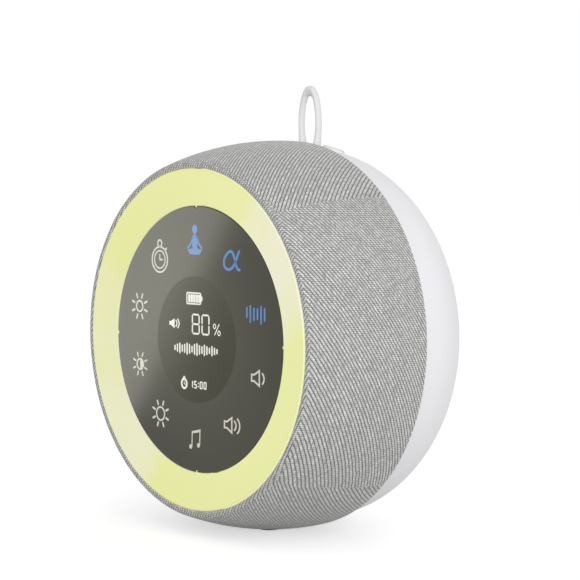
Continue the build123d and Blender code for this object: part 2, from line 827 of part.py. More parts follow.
# ------------------------------------------------------------ charging socket
usb_mouth = body_depth - usb_recess
usb_cavity_front = usb_mouth - usb_cavity
usb_inner_width = usb_width - 2 * usb_metal
usb_inner_height = usb_height - 2 * usb_metal
with BuildPart() as usb_socket:
    long_slot(usb_width, usb_height, main_board_rear, usb_mouth, usb_drop)
    long_slot(usb_inner_width, usb_inner_height, usb_cavity_front, usb_mouth, usb_drop, Mode.SUBTRACT)
save(usb_socket, "usb_socket")

with BuildPart() as usb_tongue:
    tongue_rear = usb_cavity_front + tongue_length
    block(tongue_width, tongue_thickness, usb_cavity_front, tongue_rear, (0, -usb_drop))
save(usb_tongue, "usb_tongue")

# ------------------------------------------------------------ ribbon
ribbon_start = touch_board_rear + connector_height
ribbon_front = frame_rear + ribbon_frame_gap
ribbon_low = -(box_radius + ribbon_box_gap)
ribbon_end = main_board_depth - connector_height
ribbon_rear = main_board_depth - ribbon_board_gap
with BuildPart() as display_ribbon:
    with BuildSketch(section.offset(ribbon_offset)) as ribbon_outline:
        with BuildLine() as ribbon_line:
            FilletPolyline(
                (ribbon_start, -ribbon_start_drop),
                (ribbon_front, -ribbon_start_drop),
                (ribbon_front, ribbon_low),
                (ribbon_rear, ribbon_low),
                (ribbon_rear, -ribbon_end_drop),
                (ribbon_end, -ribbon_end_drop),
                radius=ribbon_bend,
            )
        trace(ribbon_line.line, line_width=ribbon_thickness)
    extrude(ribbon_outline.sketch, amount=ribbon_width / 2, both=True)
save(display_ribbon, "display_ribbon")

connector_width = ribbon_width + connector_height
with BuildPart() as ribbon_connectors:
    front_end = (ribbon_offset, -ribbon_start_drop)
    rear_end = (ribbon_offset, -ribbon_end_drop)
    block(connector_width, connector_length, touch_board_rear, ribbon_start, front_end)
    block(connector_width, connector_length, ribbon_end, main_board_depth, rear_end)
save(ribbon_connectors, "ribbon_connectors")

# ------------------------------------------------------------ rear shell
spigot_radius = side_radius(grille_rear, cloth_thickness + grille_wall) - spigot_clearance
flat_height = grille_drop - grille_wall - spigot_clearance
flat_reach = sqrt(spigot_radius**2 - flat_height**2)
flat_middle = (0, -shell_radius)
button_points = [(-button_spacing / 2, 0), (button_spacing / 2, 0)]
control_screw_points = [(-control_screw_spacing / 2, 0), (control_screw_spacing / 2, 0)]

# Hollow of the shell, without the bosses, stand-offs and the pad that it carries
with BuildPart() as shell_hollow:
    domed(grille_rear - spigot_length, shell_wall)
    pegs(shell_screw_points, shell_boss_radius, shell_joint_depth, body_depth, Mode.SUBTRACT)
    pegs(standoff_points, standoff_radius, main_board_rear, body_depth, Mode.SUBTRACT)
    posts(control_screw_points, control_boss_radius, control_board_top, shell_radius, Mode.SUBTRACT)
    with BuildSketch(at_height(pad_height)):
        Rectangle(pad_width, pad_length)
    extrude(amount=shell_wall + pad_drop, mode=Mode.SUBTRACT)

with BuildPart() as rear_shell:
    washer(0, spigot_radius, grille_rear - spigot_length, grille_rear)
    # Gap in the tongue over the frame's flat base
    block(2 * flat_reach, shell_radius, grille_rear - spigot_length, grille_rear, flat_middle, Mode.SUBTRACT)
    domed(grille_rear, 0)
    add(shell_hollow.part, mode=Mode.SUBTRACT)
    # Deep wells from the back, at whose ends the screw heads sit
    pegs(shell_screw_points, large_head_radius + pass_gap, shell_seat_depth, body_depth, Mode.SUBTRACT)
    large_pass = large_shank_radius + pass_gap
    pegs(shell_screw_points, large_pass, shell_joint_depth, shell_seat_depth, Mode.SUBTRACT)
    standoff_bore_rear = main_board_depth + board_screw_length
    pegs(standoff_points, small_bore, main_board_rear, standoff_bore_rear, Mode.SUBTRACT)
    usb_hole_width = usb_width + 2 * usb_gap
    usb_hole_height = usb_height + 2 * usb_gap
    usb_hole_front = body_depth - 2 * shell_wall
    long_slot(usb_hole_width, usb_hole_height, usb_hole_front, body_depth, usb_drop, Mode.SUBTRACT)
    posts(button_points, button_radius + button_gap, pad_height, shell_radius, Mode.SUBTRACT)
    with BuildSketch(at_height(pad_height)):
        slot_height = 2 * (loop_wire_radius + loop_hole_gap)
        SlotOverall(2 * loop_leg_offset + slot_height, slot_height)
    extrude(amount=shell_wall + pad_drop, mode=Mode.SUBTRACT)
    control_bore_top = control_board_top - board_thickness + control_screw_length
    posts(control_screw_points, small_bore, control_board_top, control_bore_top, Mode.SUBTRACT)
save(rear_shell, "rear_shell")

with BuildPart() as shell_screws:
    pegs(shell_screw_points, large_head_radius, shell_seat_depth, shell_seat_depth + large_head_height)
    pegs(shell_screw_points, large_shank_radius, shell_seat_depth - shell_screw_length, shell_seat_depth)
save(shell_screws, "shell_screws")

# ------------------------------------------------------------ hanging loop
loop_plane = Plane(origin=(0, control_y, axis_height), x_dir=(1, 0, 0), z_dir=(0, -1, 0))
with BuildPart() as hanging_loop:
    with BuildLine(loop_plane) as loop_line:
        Line((loop_leg_offset, pad_height), (loop_leg_offset, shell_radius))
        EllipticalCenterArc(
            (0, loop_middle),
            loop_half_width,
            loop_half_height,
            -loop_leg_angle,
            arc_size=180 + 2 * loop_leg_angle,
        )
        Line((-loop_leg_offset, shell_radius), (-loop_leg_offset, pad_height))
    with BuildSketch(at_height(pad_height)) as loop_wire:
        with Locations((loop_leg_offset, 0)):
            Circle(loop_wire_radius)
    sweep(loop_wire.sketch, path=loop_line.wires()[0], transition=Transition.RIGHT)
    with BuildSketch(at_height(control_board_top)):
        Rectangle(loop_foot_width, loop_foot_length)
    extrude(amount=pad_height - control_board_top)
save(hanging_loop, "hanging_loop")

# ------------------------------------------------------------ top buttons
for side, button_point in (("left", button_points[0]), ("right", button_points[1])):
    with BuildPart() as button:
        posts([button_point], button_radius, button_flange_top, button_crown)
        fillet(button.edges().sort_by(Axis.Z)[-1], button_rounding)
        posts([button_point], button_flange_radius, button_base, button_flange_top)
    save(button, f"{side}_button")

    with BuildPart() as plunger:
        posts([button_point], plunger_radius, switch_top - plunger_depth, button_base)
    save(plunger, f"{side}_switch_plunger")

with BuildPart() as switch_housings:
    with BuildSketch(at_height(control_board_top)):
        with Locations(*button_points):
            Rectangle(switch_size, switch_size)
    extrude(amount=switch_height)
    well_floor = switch_top - plunger_depth - button_travel - small_gap
    posts(button_points, plunger_radius + plunger_gap, well_floor, switch_top, Mode.SUBTRACT)
save(switch_housings, "switch_housings")

with BuildPart() as control_board:
    with BuildSketch(at_height(control_board_top)):
        RectangleRounded(control_board_length, control_board_width, control_board_rounding)
    extrude(amount=-board_thickness)
    control_board_base = control_board_top - board_thickness
    posts(control_screw_points, small_pass, control_board_base, control_board_top, Mode.SUBTRACT)
save(control_board, "control_board")

with BuildPart() as control_screws:
    head_base = control_board_base - small_head_height
    posts(control_screw_points, small_head_radius, head_base, control_board_base)
    posts(control_screw_points, small_shank_radius, control_board_base, control_bore_top)
save(control_screws, "control_screws")
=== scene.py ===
import logging
import math
from collections.abc import Callable
from dataclasses import dataclass, field
from enum import Enum
from functools import partial
from typing import Any

import bmesh
import bpy
import numpy as np
from bpy.types import Material, Mesh, Node, NodeSocket, NodeTree, Object
from mathutils import Matrix, Vector


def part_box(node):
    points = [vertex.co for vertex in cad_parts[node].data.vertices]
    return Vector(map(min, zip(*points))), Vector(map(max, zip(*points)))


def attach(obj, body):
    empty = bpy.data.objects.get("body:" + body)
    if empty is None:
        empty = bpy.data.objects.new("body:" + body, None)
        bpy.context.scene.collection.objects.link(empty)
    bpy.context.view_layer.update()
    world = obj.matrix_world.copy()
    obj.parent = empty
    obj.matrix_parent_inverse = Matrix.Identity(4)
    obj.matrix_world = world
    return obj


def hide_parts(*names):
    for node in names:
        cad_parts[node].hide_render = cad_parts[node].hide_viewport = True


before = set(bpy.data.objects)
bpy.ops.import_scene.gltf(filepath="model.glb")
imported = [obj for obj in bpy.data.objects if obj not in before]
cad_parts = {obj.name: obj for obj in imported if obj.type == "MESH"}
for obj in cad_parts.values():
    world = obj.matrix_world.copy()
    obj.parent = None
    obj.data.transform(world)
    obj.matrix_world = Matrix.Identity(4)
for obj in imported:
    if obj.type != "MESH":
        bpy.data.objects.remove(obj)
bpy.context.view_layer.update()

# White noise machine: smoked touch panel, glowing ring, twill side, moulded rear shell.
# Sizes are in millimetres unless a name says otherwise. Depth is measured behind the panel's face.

log = logging.getLogger("noise_machine")

MM = 0.001
PANEL_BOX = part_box("touch_panel")
PANEL_Y = PANEL_BOX[0].y / MM
AXIS_Z = (PANEL_BOX[0].z + PANEL_BOX[1].z) / 2 / MM
DOUBLE_GAP = 0.001  # vertices nearer than this are one

Point2 = tuple[float, float]
Point3 = tuple[float, float, float]


class Body(Enum):
    """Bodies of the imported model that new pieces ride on."""

    HOUSING = "housing"
    LEFT_BUTTON = "left_button"
    RIGHT_BUTTON = "right_button"


class Surface(Enum):
    """Kinds of fine surface pattern a finish may carry."""

    GRAIN = "grain"
    PORES = "pores"
    BRUSHED = "brushed"
    FIBRES = "fibres"
    WOUND = "wound"


class Join(Enum):
    """Ways to put two closed meshes together."""

    CUT = "DIFFERENCE"
    UNITE = "UNION"


# ---------------------------------------------------------------- shared small tools
def linear(hex_colour: str) -> tuple[float, float, float, float]:
    """Turns an sRGB hex colour into linear RGBA.

    Args:
        hex_colour: six hex digits.

    Returns:
        The linear colour with full alpha.
    """
    parts = [int(hex_colour[i : i + 2], 16) / 255 for i in (0, 2, 4)]
    red, green, blue = (c / 12.92 if c <= 0.04045 else ((c + 0.055) / 1.055) ** 2.4 for c in parts)
    return (red, green, blue, 1.0)


def add_node(tree: NodeTree, kind: str, *values: Any, **named: Any) -> Node:
    """Adds a node with its settings, values and links.

    Args:
        tree: node tree that gets the node.
        kind: the node's type name, without ShaderNode or GeometryNode.
        values: for its inputs in order: a value, a node or socket to link from, a list of them, or
            None to leave an input alone.
        named: settings, in lower case, and inputs by name with a capital and underscores.

    Returns:
        The new node.
    """
    whole = next(n for n in (f"ShaderNode{kind}", f"GeometryNode{kind}", kind) if hasattr(bpy.types, n))
    node = tree.nodes.new(whole)
    for name in [key for key in named if key[0].islower()]:
        setattr(node, name, named.pop(name))
    free = [socket for socket in node.inputs if socket.enabled]
    by_name = {socket.name.replace(" ", "_"): socket for socket in free}
    for socket, value in [*zip(free, values), *((by_name[key], value) for key, value in named.items())]:
        for item in value if isinstance(value, list) else [value]:
            if isinstance(item, Node):
                item = next(output for output in item.outputs if output.enabled)
            if isinstance(item, NodeSocket):
                tree.links.new(item, socket)
            elif item is not None:
                socket.default_value = item
    return node


def at_depth(x: float, depth: float, z: float) -> Vector:
    """Point in metres from a place across the panel and a depth behind its face."""
    return Vector((x * MM, (PANEL_Y + depth) * MM, (AXIS_Z + z) * MM))


def arc(
    centre: Point2, radius: float, start: float, end: float, steps: int, tall: float = 1.0
) -> list[Point2]:
    """Points along an arc, tall times as high as wide, its angles in degrees from the first axis."""
    angles = [math.radians(start + (end - start) * i / steps) for i in range(steps + 1)]
    return [(centre[0] + radius * math.cos(a), centre[1] + tall * radius * math.sin(a)) for a in angles]


def place_in_scene(name: str, data: Any) -> Object:
    """Makes an object of some data and links it.

    Args:
        name: the object's name.
        data: its mesh, camera or light.

    Returns:
        The linked object.
    """
    made = bpy.data.objects.new(name, data)
    bpy.context.scene.collection.objects.link(made)
    return made


def new_piece(name: str, mesh: Mesh, stands_for: str = "", body: Body = Body.HOUSING) -> Object:
    """Makes a finished mesh a piece that rides on a body.

    Args:
        name: the piece's name.
        mesh: mesh whose vertices are already in place.
        stands_for: the CAD node that it replaces, if any.
        body: the body it moves with.

    Returns:
        The linked object.
    """
    mesh.name = name
    piece = place_in_scene(name, mesh)
    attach(piece, body.value)
    if stands_for:
        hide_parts(stands_for)
    log.info("%s: %d faces", name, len(mesh.polygons))
    return piece


def raw_mesh(points: list, edges: list | tuple = (), faces: list | tuple = (), **marks: list[float]) -> Mesh:
    """Mesh from plain lists.

    Args:
        points: places in metres.
        edges: pairs of point numbers.
        faces: rings of point numbers.
        marks: name of a point attribute to its values.

    Returns:
        The mesh.
    """
    mesh = bpy.data.meshes.new("raw")
    mesh.from_pydata([tuple(p) for p in points], edges, faces)
    for name, values in marks.items():
        mesh.attributes.new(name, "FLOAT", "POINT").data.foreach_set("value", values)
    return mesh


def add_skin(cage: bmesh.types.BMesh, rings: list[list[Vector]]) -> None:
    """Adds a skin over rings of points, with a cap on the first and the last.

    Args:
        cage: cage to add to.
        rings: rings with the same number of points.
    """
    loops = [[cage.verts.new(point) for point in ring] for ring in rings]
    count = len(rings[0])
    for low, high in zip(loops, loops[1:]):
        for i in range(count):
            j = (i + 1) % count
            cage.faces.new((low[i], low[j], high[j], high[i]))
    cage.faces.new(loops[0][::-1])
    cage.faces.new(loops[-1])


def end_cage(cage: bmesh.types.BMesh, finish: Material | None = None) -> Mesh:
    """Turns a cage into a mesh whose faces point outwards.

    Args:
        cage: closed cage, which is freed.
        finish: the mesh's material.

    Returns:
        The mesh.
    """
    bmesh.ops.recalc_face_normals(cage, faces=cage.faces)
    mesh = bpy.data.meshes.new("closed")
    cage.to_mesh(mesh)
    cage.free()
    if finish:
        mesh.materials.append(finish)
    return mesh


def close_up(mesh: Mesh) -> Mesh:
    """Merges doubles and turns every face of a closed mesh outwards.

    Args:
        mesh: mesh to mend.

    Returns:
        The same mesh.
    """
    cage = bmesh.new()
    cage.from_mesh(mesh)
    bmesh.ops.remove_doubles(cage, verts=cage.verts, dist=DOUBLE_GAP * MM)
    bmesh.ops.recalc_face_normals(cage, faces=cage.faces)
    cage.to_mesh(mesh)
    cage.free()
    mesh.update()
    return mesh


def settle(holder: Object) -> Mesh:
    """Plain mesh of an object with its modifiers applied; the object goes.

    Args:
        holder: object with live modifiers.

    Returns:
        The plain mesh.
    """
    bpy.context.view_layer.update()
    graph = bpy.context.evaluated_depsgraph_get()
    seen = holder.evaluated_get(graph)
    mesh = bpy.data.meshes.new_from_object(seen, preserve_all_data_layers=True, depsgraph=graph)
    bpy.data.objects.remove(holder)
    return mesh


def combine(mesh: Mesh, other: Mesh, way: Join) -> Mesh:
    """Cuts a closed mesh with another or unites the two.

    Args:
        mesh: mesh to change.
        other: mesh to cut or add with.
        way: whether the other cuts it or joins it.

    Returns:
        The new plain mesh, with the first mesh's materials.
    """
    solid, tool = place_in_scene("solid", mesh), place_in_scene("tool", other)
    step = solid.modifiers.new("step", "BOOLEAN")
    step.object, step.operation, step.solver = tool, way.value, "EXACT"
    made = settle(solid)
    bpy.data.objects.remove(tool)
    return made


def rounded_block(
    low: Vector, high: Vector, upright: tuple[int, float], soften: float = 0.0, finish: Material | None = None
) -> Mesh:
    """Block whose edges along one axis are rounded, and the others softened.

    Args:
        low: its lowest corner, in metres.
        high: its highest corner.
        upright: number of the axis along which the corners are rounded, and their radius.
        soften: rounding of the remaining edges.
        finish: its material.

    Returns:
        The closed mesh.
    """
    axis, radius = upright
    cage = bmesh.new()
    bmesh.ops.create_cube(cage, size=1.0)
    bmesh.ops.scale(cage, vec=high - low, verts=cage.verts)
    bmesh.ops.translate(cage, vec=(high + low) / 2, verts=cage.verts)
    others = [i for i in range(3) if i != axis]
    corners = [e for e in cage.edges if all(abs(e.verts[0].co[i] - e.verts[1].co[i]) < 1e-6 for i in others)]
    bmesh.ops.bevel(cage, geom=corners, offset=radius * MM, segments=8, affect="EDGES", profile=0.5)
    if soften:
        rims = [e for e in cage.edges if any(abs(f.normal[axis]) > 0.9 for f in e.link_faces)]
        bmesh.ops.bevel(cage, geom=rims, offset=soften * MM, segments=3, affect="EDGES", profile=0.5)
    return end_cage(cage, finish)


def islands(node: str) -> list[tuple[Vector, Vector]]:
    """Boxes of the separate solids of a CAD node.

    Args:
        node: name of the node.

    Returns:
        Lowest and highest corner of each solid, ordered by place.
    """
    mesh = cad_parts[node].data
    coords = np.array([v.co for v in mesh.vertices]).reshape(-1, 3)
    _, key = np.unique(np.round(coords * 1e6).astype(np.int64), axis=0, return_inverse=True)
    key = key.reshape(-1)
    parent = np.arange(key.max() + 1)

    def root(i: int) -> int:
        """Finds the top of a group.

        Args:
            i: number of a place in the group.

        Returns:
            The top's number.
        """
        while parent[i] != i:
            parent[i] = parent[parent[i]]
            i = parent[i]
        return i

    for polygon in mesh.polygons:
        first = root(key[polygon.vertices[0]])
        for other in polygon.vertices[1:]:
            parent[root(key[other])] = first
    groups: dict[int, list[int]] = {}
    for vertex, k in enumerate(key):
        groups.setdefault(root(k), []).append(vertex)
    boxes = [(Vector(coords[g].min(0)), Vector(coords[g].max(0))) for g in groups.values()]
    return sorted(boxes, key=lambda b: (round(b[0].z, 5), round(b[0].x, 5)))


# ---------------------------------------------------------------- Geometry Nodes
SOCKET_KINDS = {float: "NodeSocketFloat", int: "NodeSocketInt"}


def start_tree(name: str, **sizes: float | int) -> tuple[NodeTree, Callable[..., Node], Any]:
    """Starts a Geometry Nodes tree with a named input for each size.

    Args:
        name: the tree's name.
        sizes: inputs, with underscores for spaces, and their defaults, in metres or a count.

    Returns:
        The tree, the function that adds a node to it, and the sockets of its inputs.
    """
    tree = bpy.data.node_groups.new(name, "GeometryNodeTree")
    tree.interface.new_socket("Geometry", in_out="INPUT", socket_type="NodeSocketGeometry")
    tree.interface.new_socket("Finish", in_out="INPUT", socket_type="NodeSocketMaterial")
    for label, value in sizes.items():
        kind = SOCKET_KINDS[type(value)]
        made = tree.interface.new_socket(label.replace("_", " "), in_out="INPUT", socket_type=kind)
        made.default_value = value
    tree.interface.new_socket("Geometry", in_out="OUTPUT", socket_type="NodeSocketGeometry")
    node = partial(add_node, tree)
    return tree, node, node("NodeGroupInput").outputs


def end_tree(tree: NodeTree, shape: Node, smooth: bool = True) -> NodeTree:
    """Ends a tree in Realize Instances and Set Material.

    Args:
        tree: the tree.
        shape: node of the geometry to end with.
        smooth: whether the faces are shaded smooth.

    Returns:
        The tree.
    """
    node = partial(add_node, tree)
    finish = node("NodeGroupInput").outputs["Finish"]
    shaded = node("SetShadeSmooth", node("RealizeInstances", shape), Shade_Smooth=smooth)
    node("NodeGroupOutput", node("SetMaterial", shaded, Material=finish))
    return tree


def grow(tree: NodeTree, seed: Mesh, finish: Material, **sizes: float) -> Mesh:
    """Runs a tree on a seed mesh and gives back the plain mesh.

    Args:
        tree: Geometry Nodes tree.
        seed: mesh that the tree starts from.
        finish: material that the tree sets.
        sizes: values of the named inputs, with underscores for spaces.

    Returns:
        A plain mesh without a modifier.
    """
    holder = place_in_scene("seed", seed)
    modifier = holder.modifiers.new("shape", "NODES")
    modifier.node_group = tree
    values = {"Finish": finish} | {name.replace("_", " "): value for name, value in sizes.items()}
    for item in tree.interface.items_tree:
        if item.in_out == "INPUT" and item.name in values:
            modifier[item.identifier] = values[item.name]
    return settle(holder)


def turned_tree() -> NodeTree:
    """Tree that turns an outline of (depth, radius) points round the drum's axis.

    Returns:
        The tree. Its seed is the outline as a row of vertices (depth, radius, lowest height).
    """
    tree, node, sizes = start_tree(
        "turned_form", Segments=360, Outline_Points=10, Face_Depth=PANEL_Y * MM, Axis_Height=AXIS_Z * MM
    )
    segments, count = sizes["Segments"], sizes["Outline Points"]
    rows = node("Math", count, 1.0, operation="SUBTRACT")
    grid = node("MeshGrid", segments, rows, node("Math", segments, 1.0), count)
    here = node("SeparateXYZ", node("InputPosition")).outputs
    column = node("Math", here[0], node("Math", segments, 0.5, operation="MULTIPLY"))
    row = node("Math", here[1], node("Math", rows, 0.5, operation="MULTIPLY"))
    index = node("Math", row, operation="ROUND")
    outline = node("SampleIndex", sizes["Geometry"], node("InputPosition"), index, data_type="FLOAT_VECTOR")
    depth, radius, lowest = node("SeparateXYZ", outline).outputs
    share = node("Math", column, segments, operation="DIVIDE")
    angle = node("Math", share, math.tau, operation="MULTIPLY")
    across, rise = [
        node("Math", radius, node("Math", angle, operation=wave), operation="MULTIPLY")
        for wave in ("SINE", "COSINE")
    ]
    height = node("Math", node("Math", rise, sizes["Axis Height"]), lowest, operation="MAXIMUM")
    place = node("CombineXYZ", across, node("Math", depth, sizes["Face Depth"]), height)
    return end_tree(tree, node("MergeByDistance", node("SetPosition", grid, Position=place), Distance=2e-6))


def screw_tree() -> NodeTree:
    """Tree that puts a cross-recess screw with a cut thread at every seed point, heads facing the back.

    Returns:
        The tree.
    """
    tree, node, sizes = start_tree(
        "machine_screw",
        Head_Radius=0.0021,
        Head_Height=0.0012,
        Shank_Radius=0.00095,
        Shank_Length=0.006,
        Thread_Pitch=0.0006,
        Heads_Forward=0,
    )
    shares = {
        "recess_width": ("Head Radius", 0.32),
        "recess_reach": ("Head Radius", 1.15),
        "recess_depth": ("Head Height", 1.1),
        "core": ("Shank Radius", 0.8),
        "thread": ("Shank Radius", 0.82),
        "ridge": ("Shank Radius", 0.17),
        "middle": ("Shank Length", -0.5),
        "run": ("Shank Length", 0.92),
        "tip": ("Shank Length", -0.96),
    }
    part = {
        name: node("Math", sizes[size], share, operation="MULTIPLY")
        for name, (size, share) in shares.items()
    }
    dome = node("MeshUVSphere", 32, 16, sizes["Head Radius"])
    squat = node("Math", sizes["Head Height"], sizes["Head Radius"], operation="DIVIDE")
    low_dome = node("Transform", dome, Scale=node("CombineXYZ", 1.0, 1.0, squat))
    lift = node("CombineXYZ", None, None, sizes["Head Height"])
    width, reach = part["recess_width"], part["recess_reach"]
    bars = [
        node("Transform", node("MeshCube", node("CombineXYZ", *size, part["recess_depth"])), lift)
        for size in ((width, reach), (reach, width))
    ]
    under = node("Transform", node("MeshCube", (0.02, 0.02, 0.02)), (0, 0, -0.01))
    head = node("MeshBoolean", low_dome, [*bars, under], operation="DIFFERENCE")
    shank = node(
        "MeshCylinder",
        Vertices=20,
        Radius=part["core"],
        Depth=sizes["Shank Length"],
        fill_type="TRIANGLE_FAN",
    )
    turns = node("Math", part["run"], sizes["Thread Pitch"], operation="DIVIDE")
    helix = node("CurveSpiral", 18, turns, part["thread"], part["thread"], part["run"])
    thread = node("CurveToMesh", helix, node("CurvePrimitiveCircle", 6, part["ridge"]), Fill_Caps=True)
    shank_down, thread_down = [
        node("Transform", shape, node("CombineXYZ", None, None, part[fall]))
        for shape, fall in ((shank, "middle"), (thread, "tip"))
    ]
    screw = node("JoinGeometry", [head, shank_down, thread_down])
    flip = node("Math", sizes["Heads Forward"], math.pi, -math.pi / 2, operation="MULTIPLY_ADD")
    rows = node("InstanceOnPoints", sizes["Geometry"], Instance=screw, Rotation=node("CombineXYZ", flip))
    return end_tree(tree, rows, smooth=False)


def lamp_tree() -> NodeTree:
    """Tree that puts a surface-mounted lamp, body and lens, at every seed point.

    Returns:
        The tree.
    """
    tree, node, sizes = start_tree("lamp_row", Width=0.002, Length=0.0028, Height=0.0009)
    tall = node("Math", sizes["Height"], 0.7, operation="MULTIPLY")
    cup = node("MeshCube", node("CombineXYZ", sizes["Width"], tall, sizes["Length"]))
    cup_up = node("Transform", cup, node("CombineXYZ", None, node("Math", tall, -0.5, operation="MULTIPLY")))
    radius = node("Math", sizes["Width"], 0.38, operation="MULTIPLY")
    thin = node("Math", sizes["Height"], 0.29, operation="MULTIPLY")
    squash = node("CombineXYZ", 1.0, node("Math", thin, radius, operation="DIVIDE"), 1.0)
    top = node("CombineXYZ", None, node("Math", tall, -1.0, operation="MULTIPLY"))
    lens_up = node("Transform", node("MeshUVSphere", 16, 8, radius), top, Scale=squash)
    lamp = node("JoinGeometry", [cup_up, lens_up])
    spin = node("CombineXYZ", None, node("InputNamedAttribute", "turn", data_type="FLOAT"))
    rows = node("InstanceOnPoints", sizes["Geometry"], Instance=lamp, Rotation=spin)
    return end_tree(tree, rows, smooth=False)


def swept_tree() -> NodeTree:
    """Tree that sweeps an oval section along the seed's line and thickens the underside of its crown.

    Returns:
        The tree.
    """
    tree, node, sizes = start_tree(
        "swept_wire", Wire_Radius=0.000925, Crown_Drop=0.0009, Round_Points=28, Line_Points=160
    )
    swell = node("InputNamedAttribute", "swell", data_type="FLOAT")
    line = node("ResampleCurve", node("MeshToCurve", sizes["Geometry"]), Count=sizes["Line Points"])
    section = node("CurvePrimitiveCircle", sizes["Round Points"], sizes["Wire Radius"])
    oval = node("Transform", section, Scale=(0.8, 1.12, 1.0))
    wire = node("CurveToMesh", line, oval, swell, True)
    facing = node("SeparateXYZ", node("InputNormal")).outputs["Z"]
    under = node("Math", facing, 0.0, operation="MINIMUM")
    drop = node("Math", under, sizes["Crown Drop"], operation="MULTIPLY")
    return end_tree(tree, node("SetPosition", wire, Offset=node("CombineXYZ", None, None, drop)))


def contact_tree() -> NodeTree:
    """Tree that puts a row of flat contacts side by side at every seed point.

    Returns:
        The tree.
    """
    tree, node, sizes = start_tree(
        "contact_row", Count=12, Spacing=0.0005, Width=0.00028, Thickness=0.00004, Length=0.004
    )
    leaf = node("MeshCube", node("CombineXYZ", sizes["Width"], sizes["Length"], sizes["Thickness"]))
    row = node("MeshLine", Count=sizes["Count"], Offset=node("CombineXYZ", sizes["Spacing"]))
    span = node("Math", node("Math", sizes["Count"], -1.0), sizes["Spacing"], operation="MULTIPLY")
    half = node("Math", span, -0.5, operation="MULTIPLY")
    centred = node("Transform", row, node("CombineXYZ", half))
    leaves = node("InstanceOnPoints", centred, Instance=leaf)
    rows = node("InstanceOnPoints", sizes["Geometry"], Instance=leaves)
    return end_tree(tree, rows, smooth=False)


# ---------------------------------------------------------------- finishes
# A noise texture's values lie mostly between these
NOISE_RANGE = (0.3, 0.7)
# Distance from the drum's axis, whatever the depth
ROUND_AXIS = {"Location": (0, 0, -AXIS_Z * MM), "Scale": (1, 0, 1)}


def start_material(name: str) -> tuple[Material, Callable[..., Node]]:
    """Starts a material.

    Args:
        name: the material's name.

    Returns:
        The material and the function that adds a node to it.
    """
    material = bpy.data.materials.new(name)
    material.use_nodes = True
    material.node_tree.nodes.clear()
    return material, partial(add_node, material.node_tree)


def end_material(material: Material, **inputs: Any) -> Material:
    """Ends a material in one principled shader.

    Args:
        material: the material.
        inputs: the shader's inputs, with underscores for spaces.

    Returns:
        The material.
    """
    node = partial(add_node, material.node_tree)
    node("OutputMaterial", node("BsdfPrincipled", **inputs))
    return material


@dataclass(frozen=True)
class Finish:
    """A finish whose colour, roughness and relief vary with one fine pattern.

    The two colours are mixed by a soft noise, the pattern gives the relief.
    """

    name: str
    colour: str
    second_colour: str
    roughness: float
    roughness_spread: float = 0.06
    metallic: float = 0.0
    ior: float = 1.5
    surface: Surface = Surface.GRAIN
    pattern_mm: float = 0.3
    relief_mm: float = 0.01
    mottle_mm: float = 18.0
    mottle_share: float = 0.5
    glow: float = 0.0

    def pattern(self, node: Callable[..., Node], place: NodeSocket) -> Any:
        """Fine pattern from 0 to 1.

        Args:
            node: function that adds a node to the material.
            place: socket of the object coordinates in metres.

        Returns:
            The pattern's node or socket.
        """
        per_metre = 1 / (self.pattern_mm * MM)
        if self.surface is Surface.PORES:
            return node("TexVoronoi", place, per_metre)
        if self.surface is Surface.WOUND:
            bands = node("TexWave", place, per_metre / math.tau, Distortion=0.3, bands_direction="Y")
            return bands.outputs["Fac"]
        stretch = {Surface.GRAIN: (1, 1, 1), Surface.BRUSHED: (0.04, 1, 1), Surface.FIBRES: (0.15, 1, 0.4)}
        laid = node("Mapping", place, Scale=stretch[self.surface])
        return node("TexNoise", laid, Scale=per_metre / 2, Detail=3.0)

    def build(self) -> Material:
        """Builds the material.

        Returns:
            The material.
        """
        material, node = start_material(self.name)
        place = node("TexCoord").outputs["Object"]
        mottle = node("TexNoise", place, Scale=0.5 / (self.mottle_mm * MM), Detail=4.0)
        share = node("MapRange", mottle, *NOISE_RANGE, To_Max=self.mottle_share)
        fine = self.pattern(node, place)
        low, high = self.roughness - self.roughness_spread, self.roughness + self.roughness_spread
        return end_material(
            material,
            Base_Color=node("Mix", share, linear(self.colour), linear(self.second_colour), data_type="RGBA"),
            Roughness=node("MapRange", fine, To_Min=low, To_Max=high),
            Normal=node("Bump", Height=fine, Distance=self.relief_mm * MM),
            Metallic=self.metallic,
            IOR=None if self.metallic else self.ior,
            Emission_Color=linear(self.colour) if self.glow else None,
            Emission_Strength=self.glow,
        )


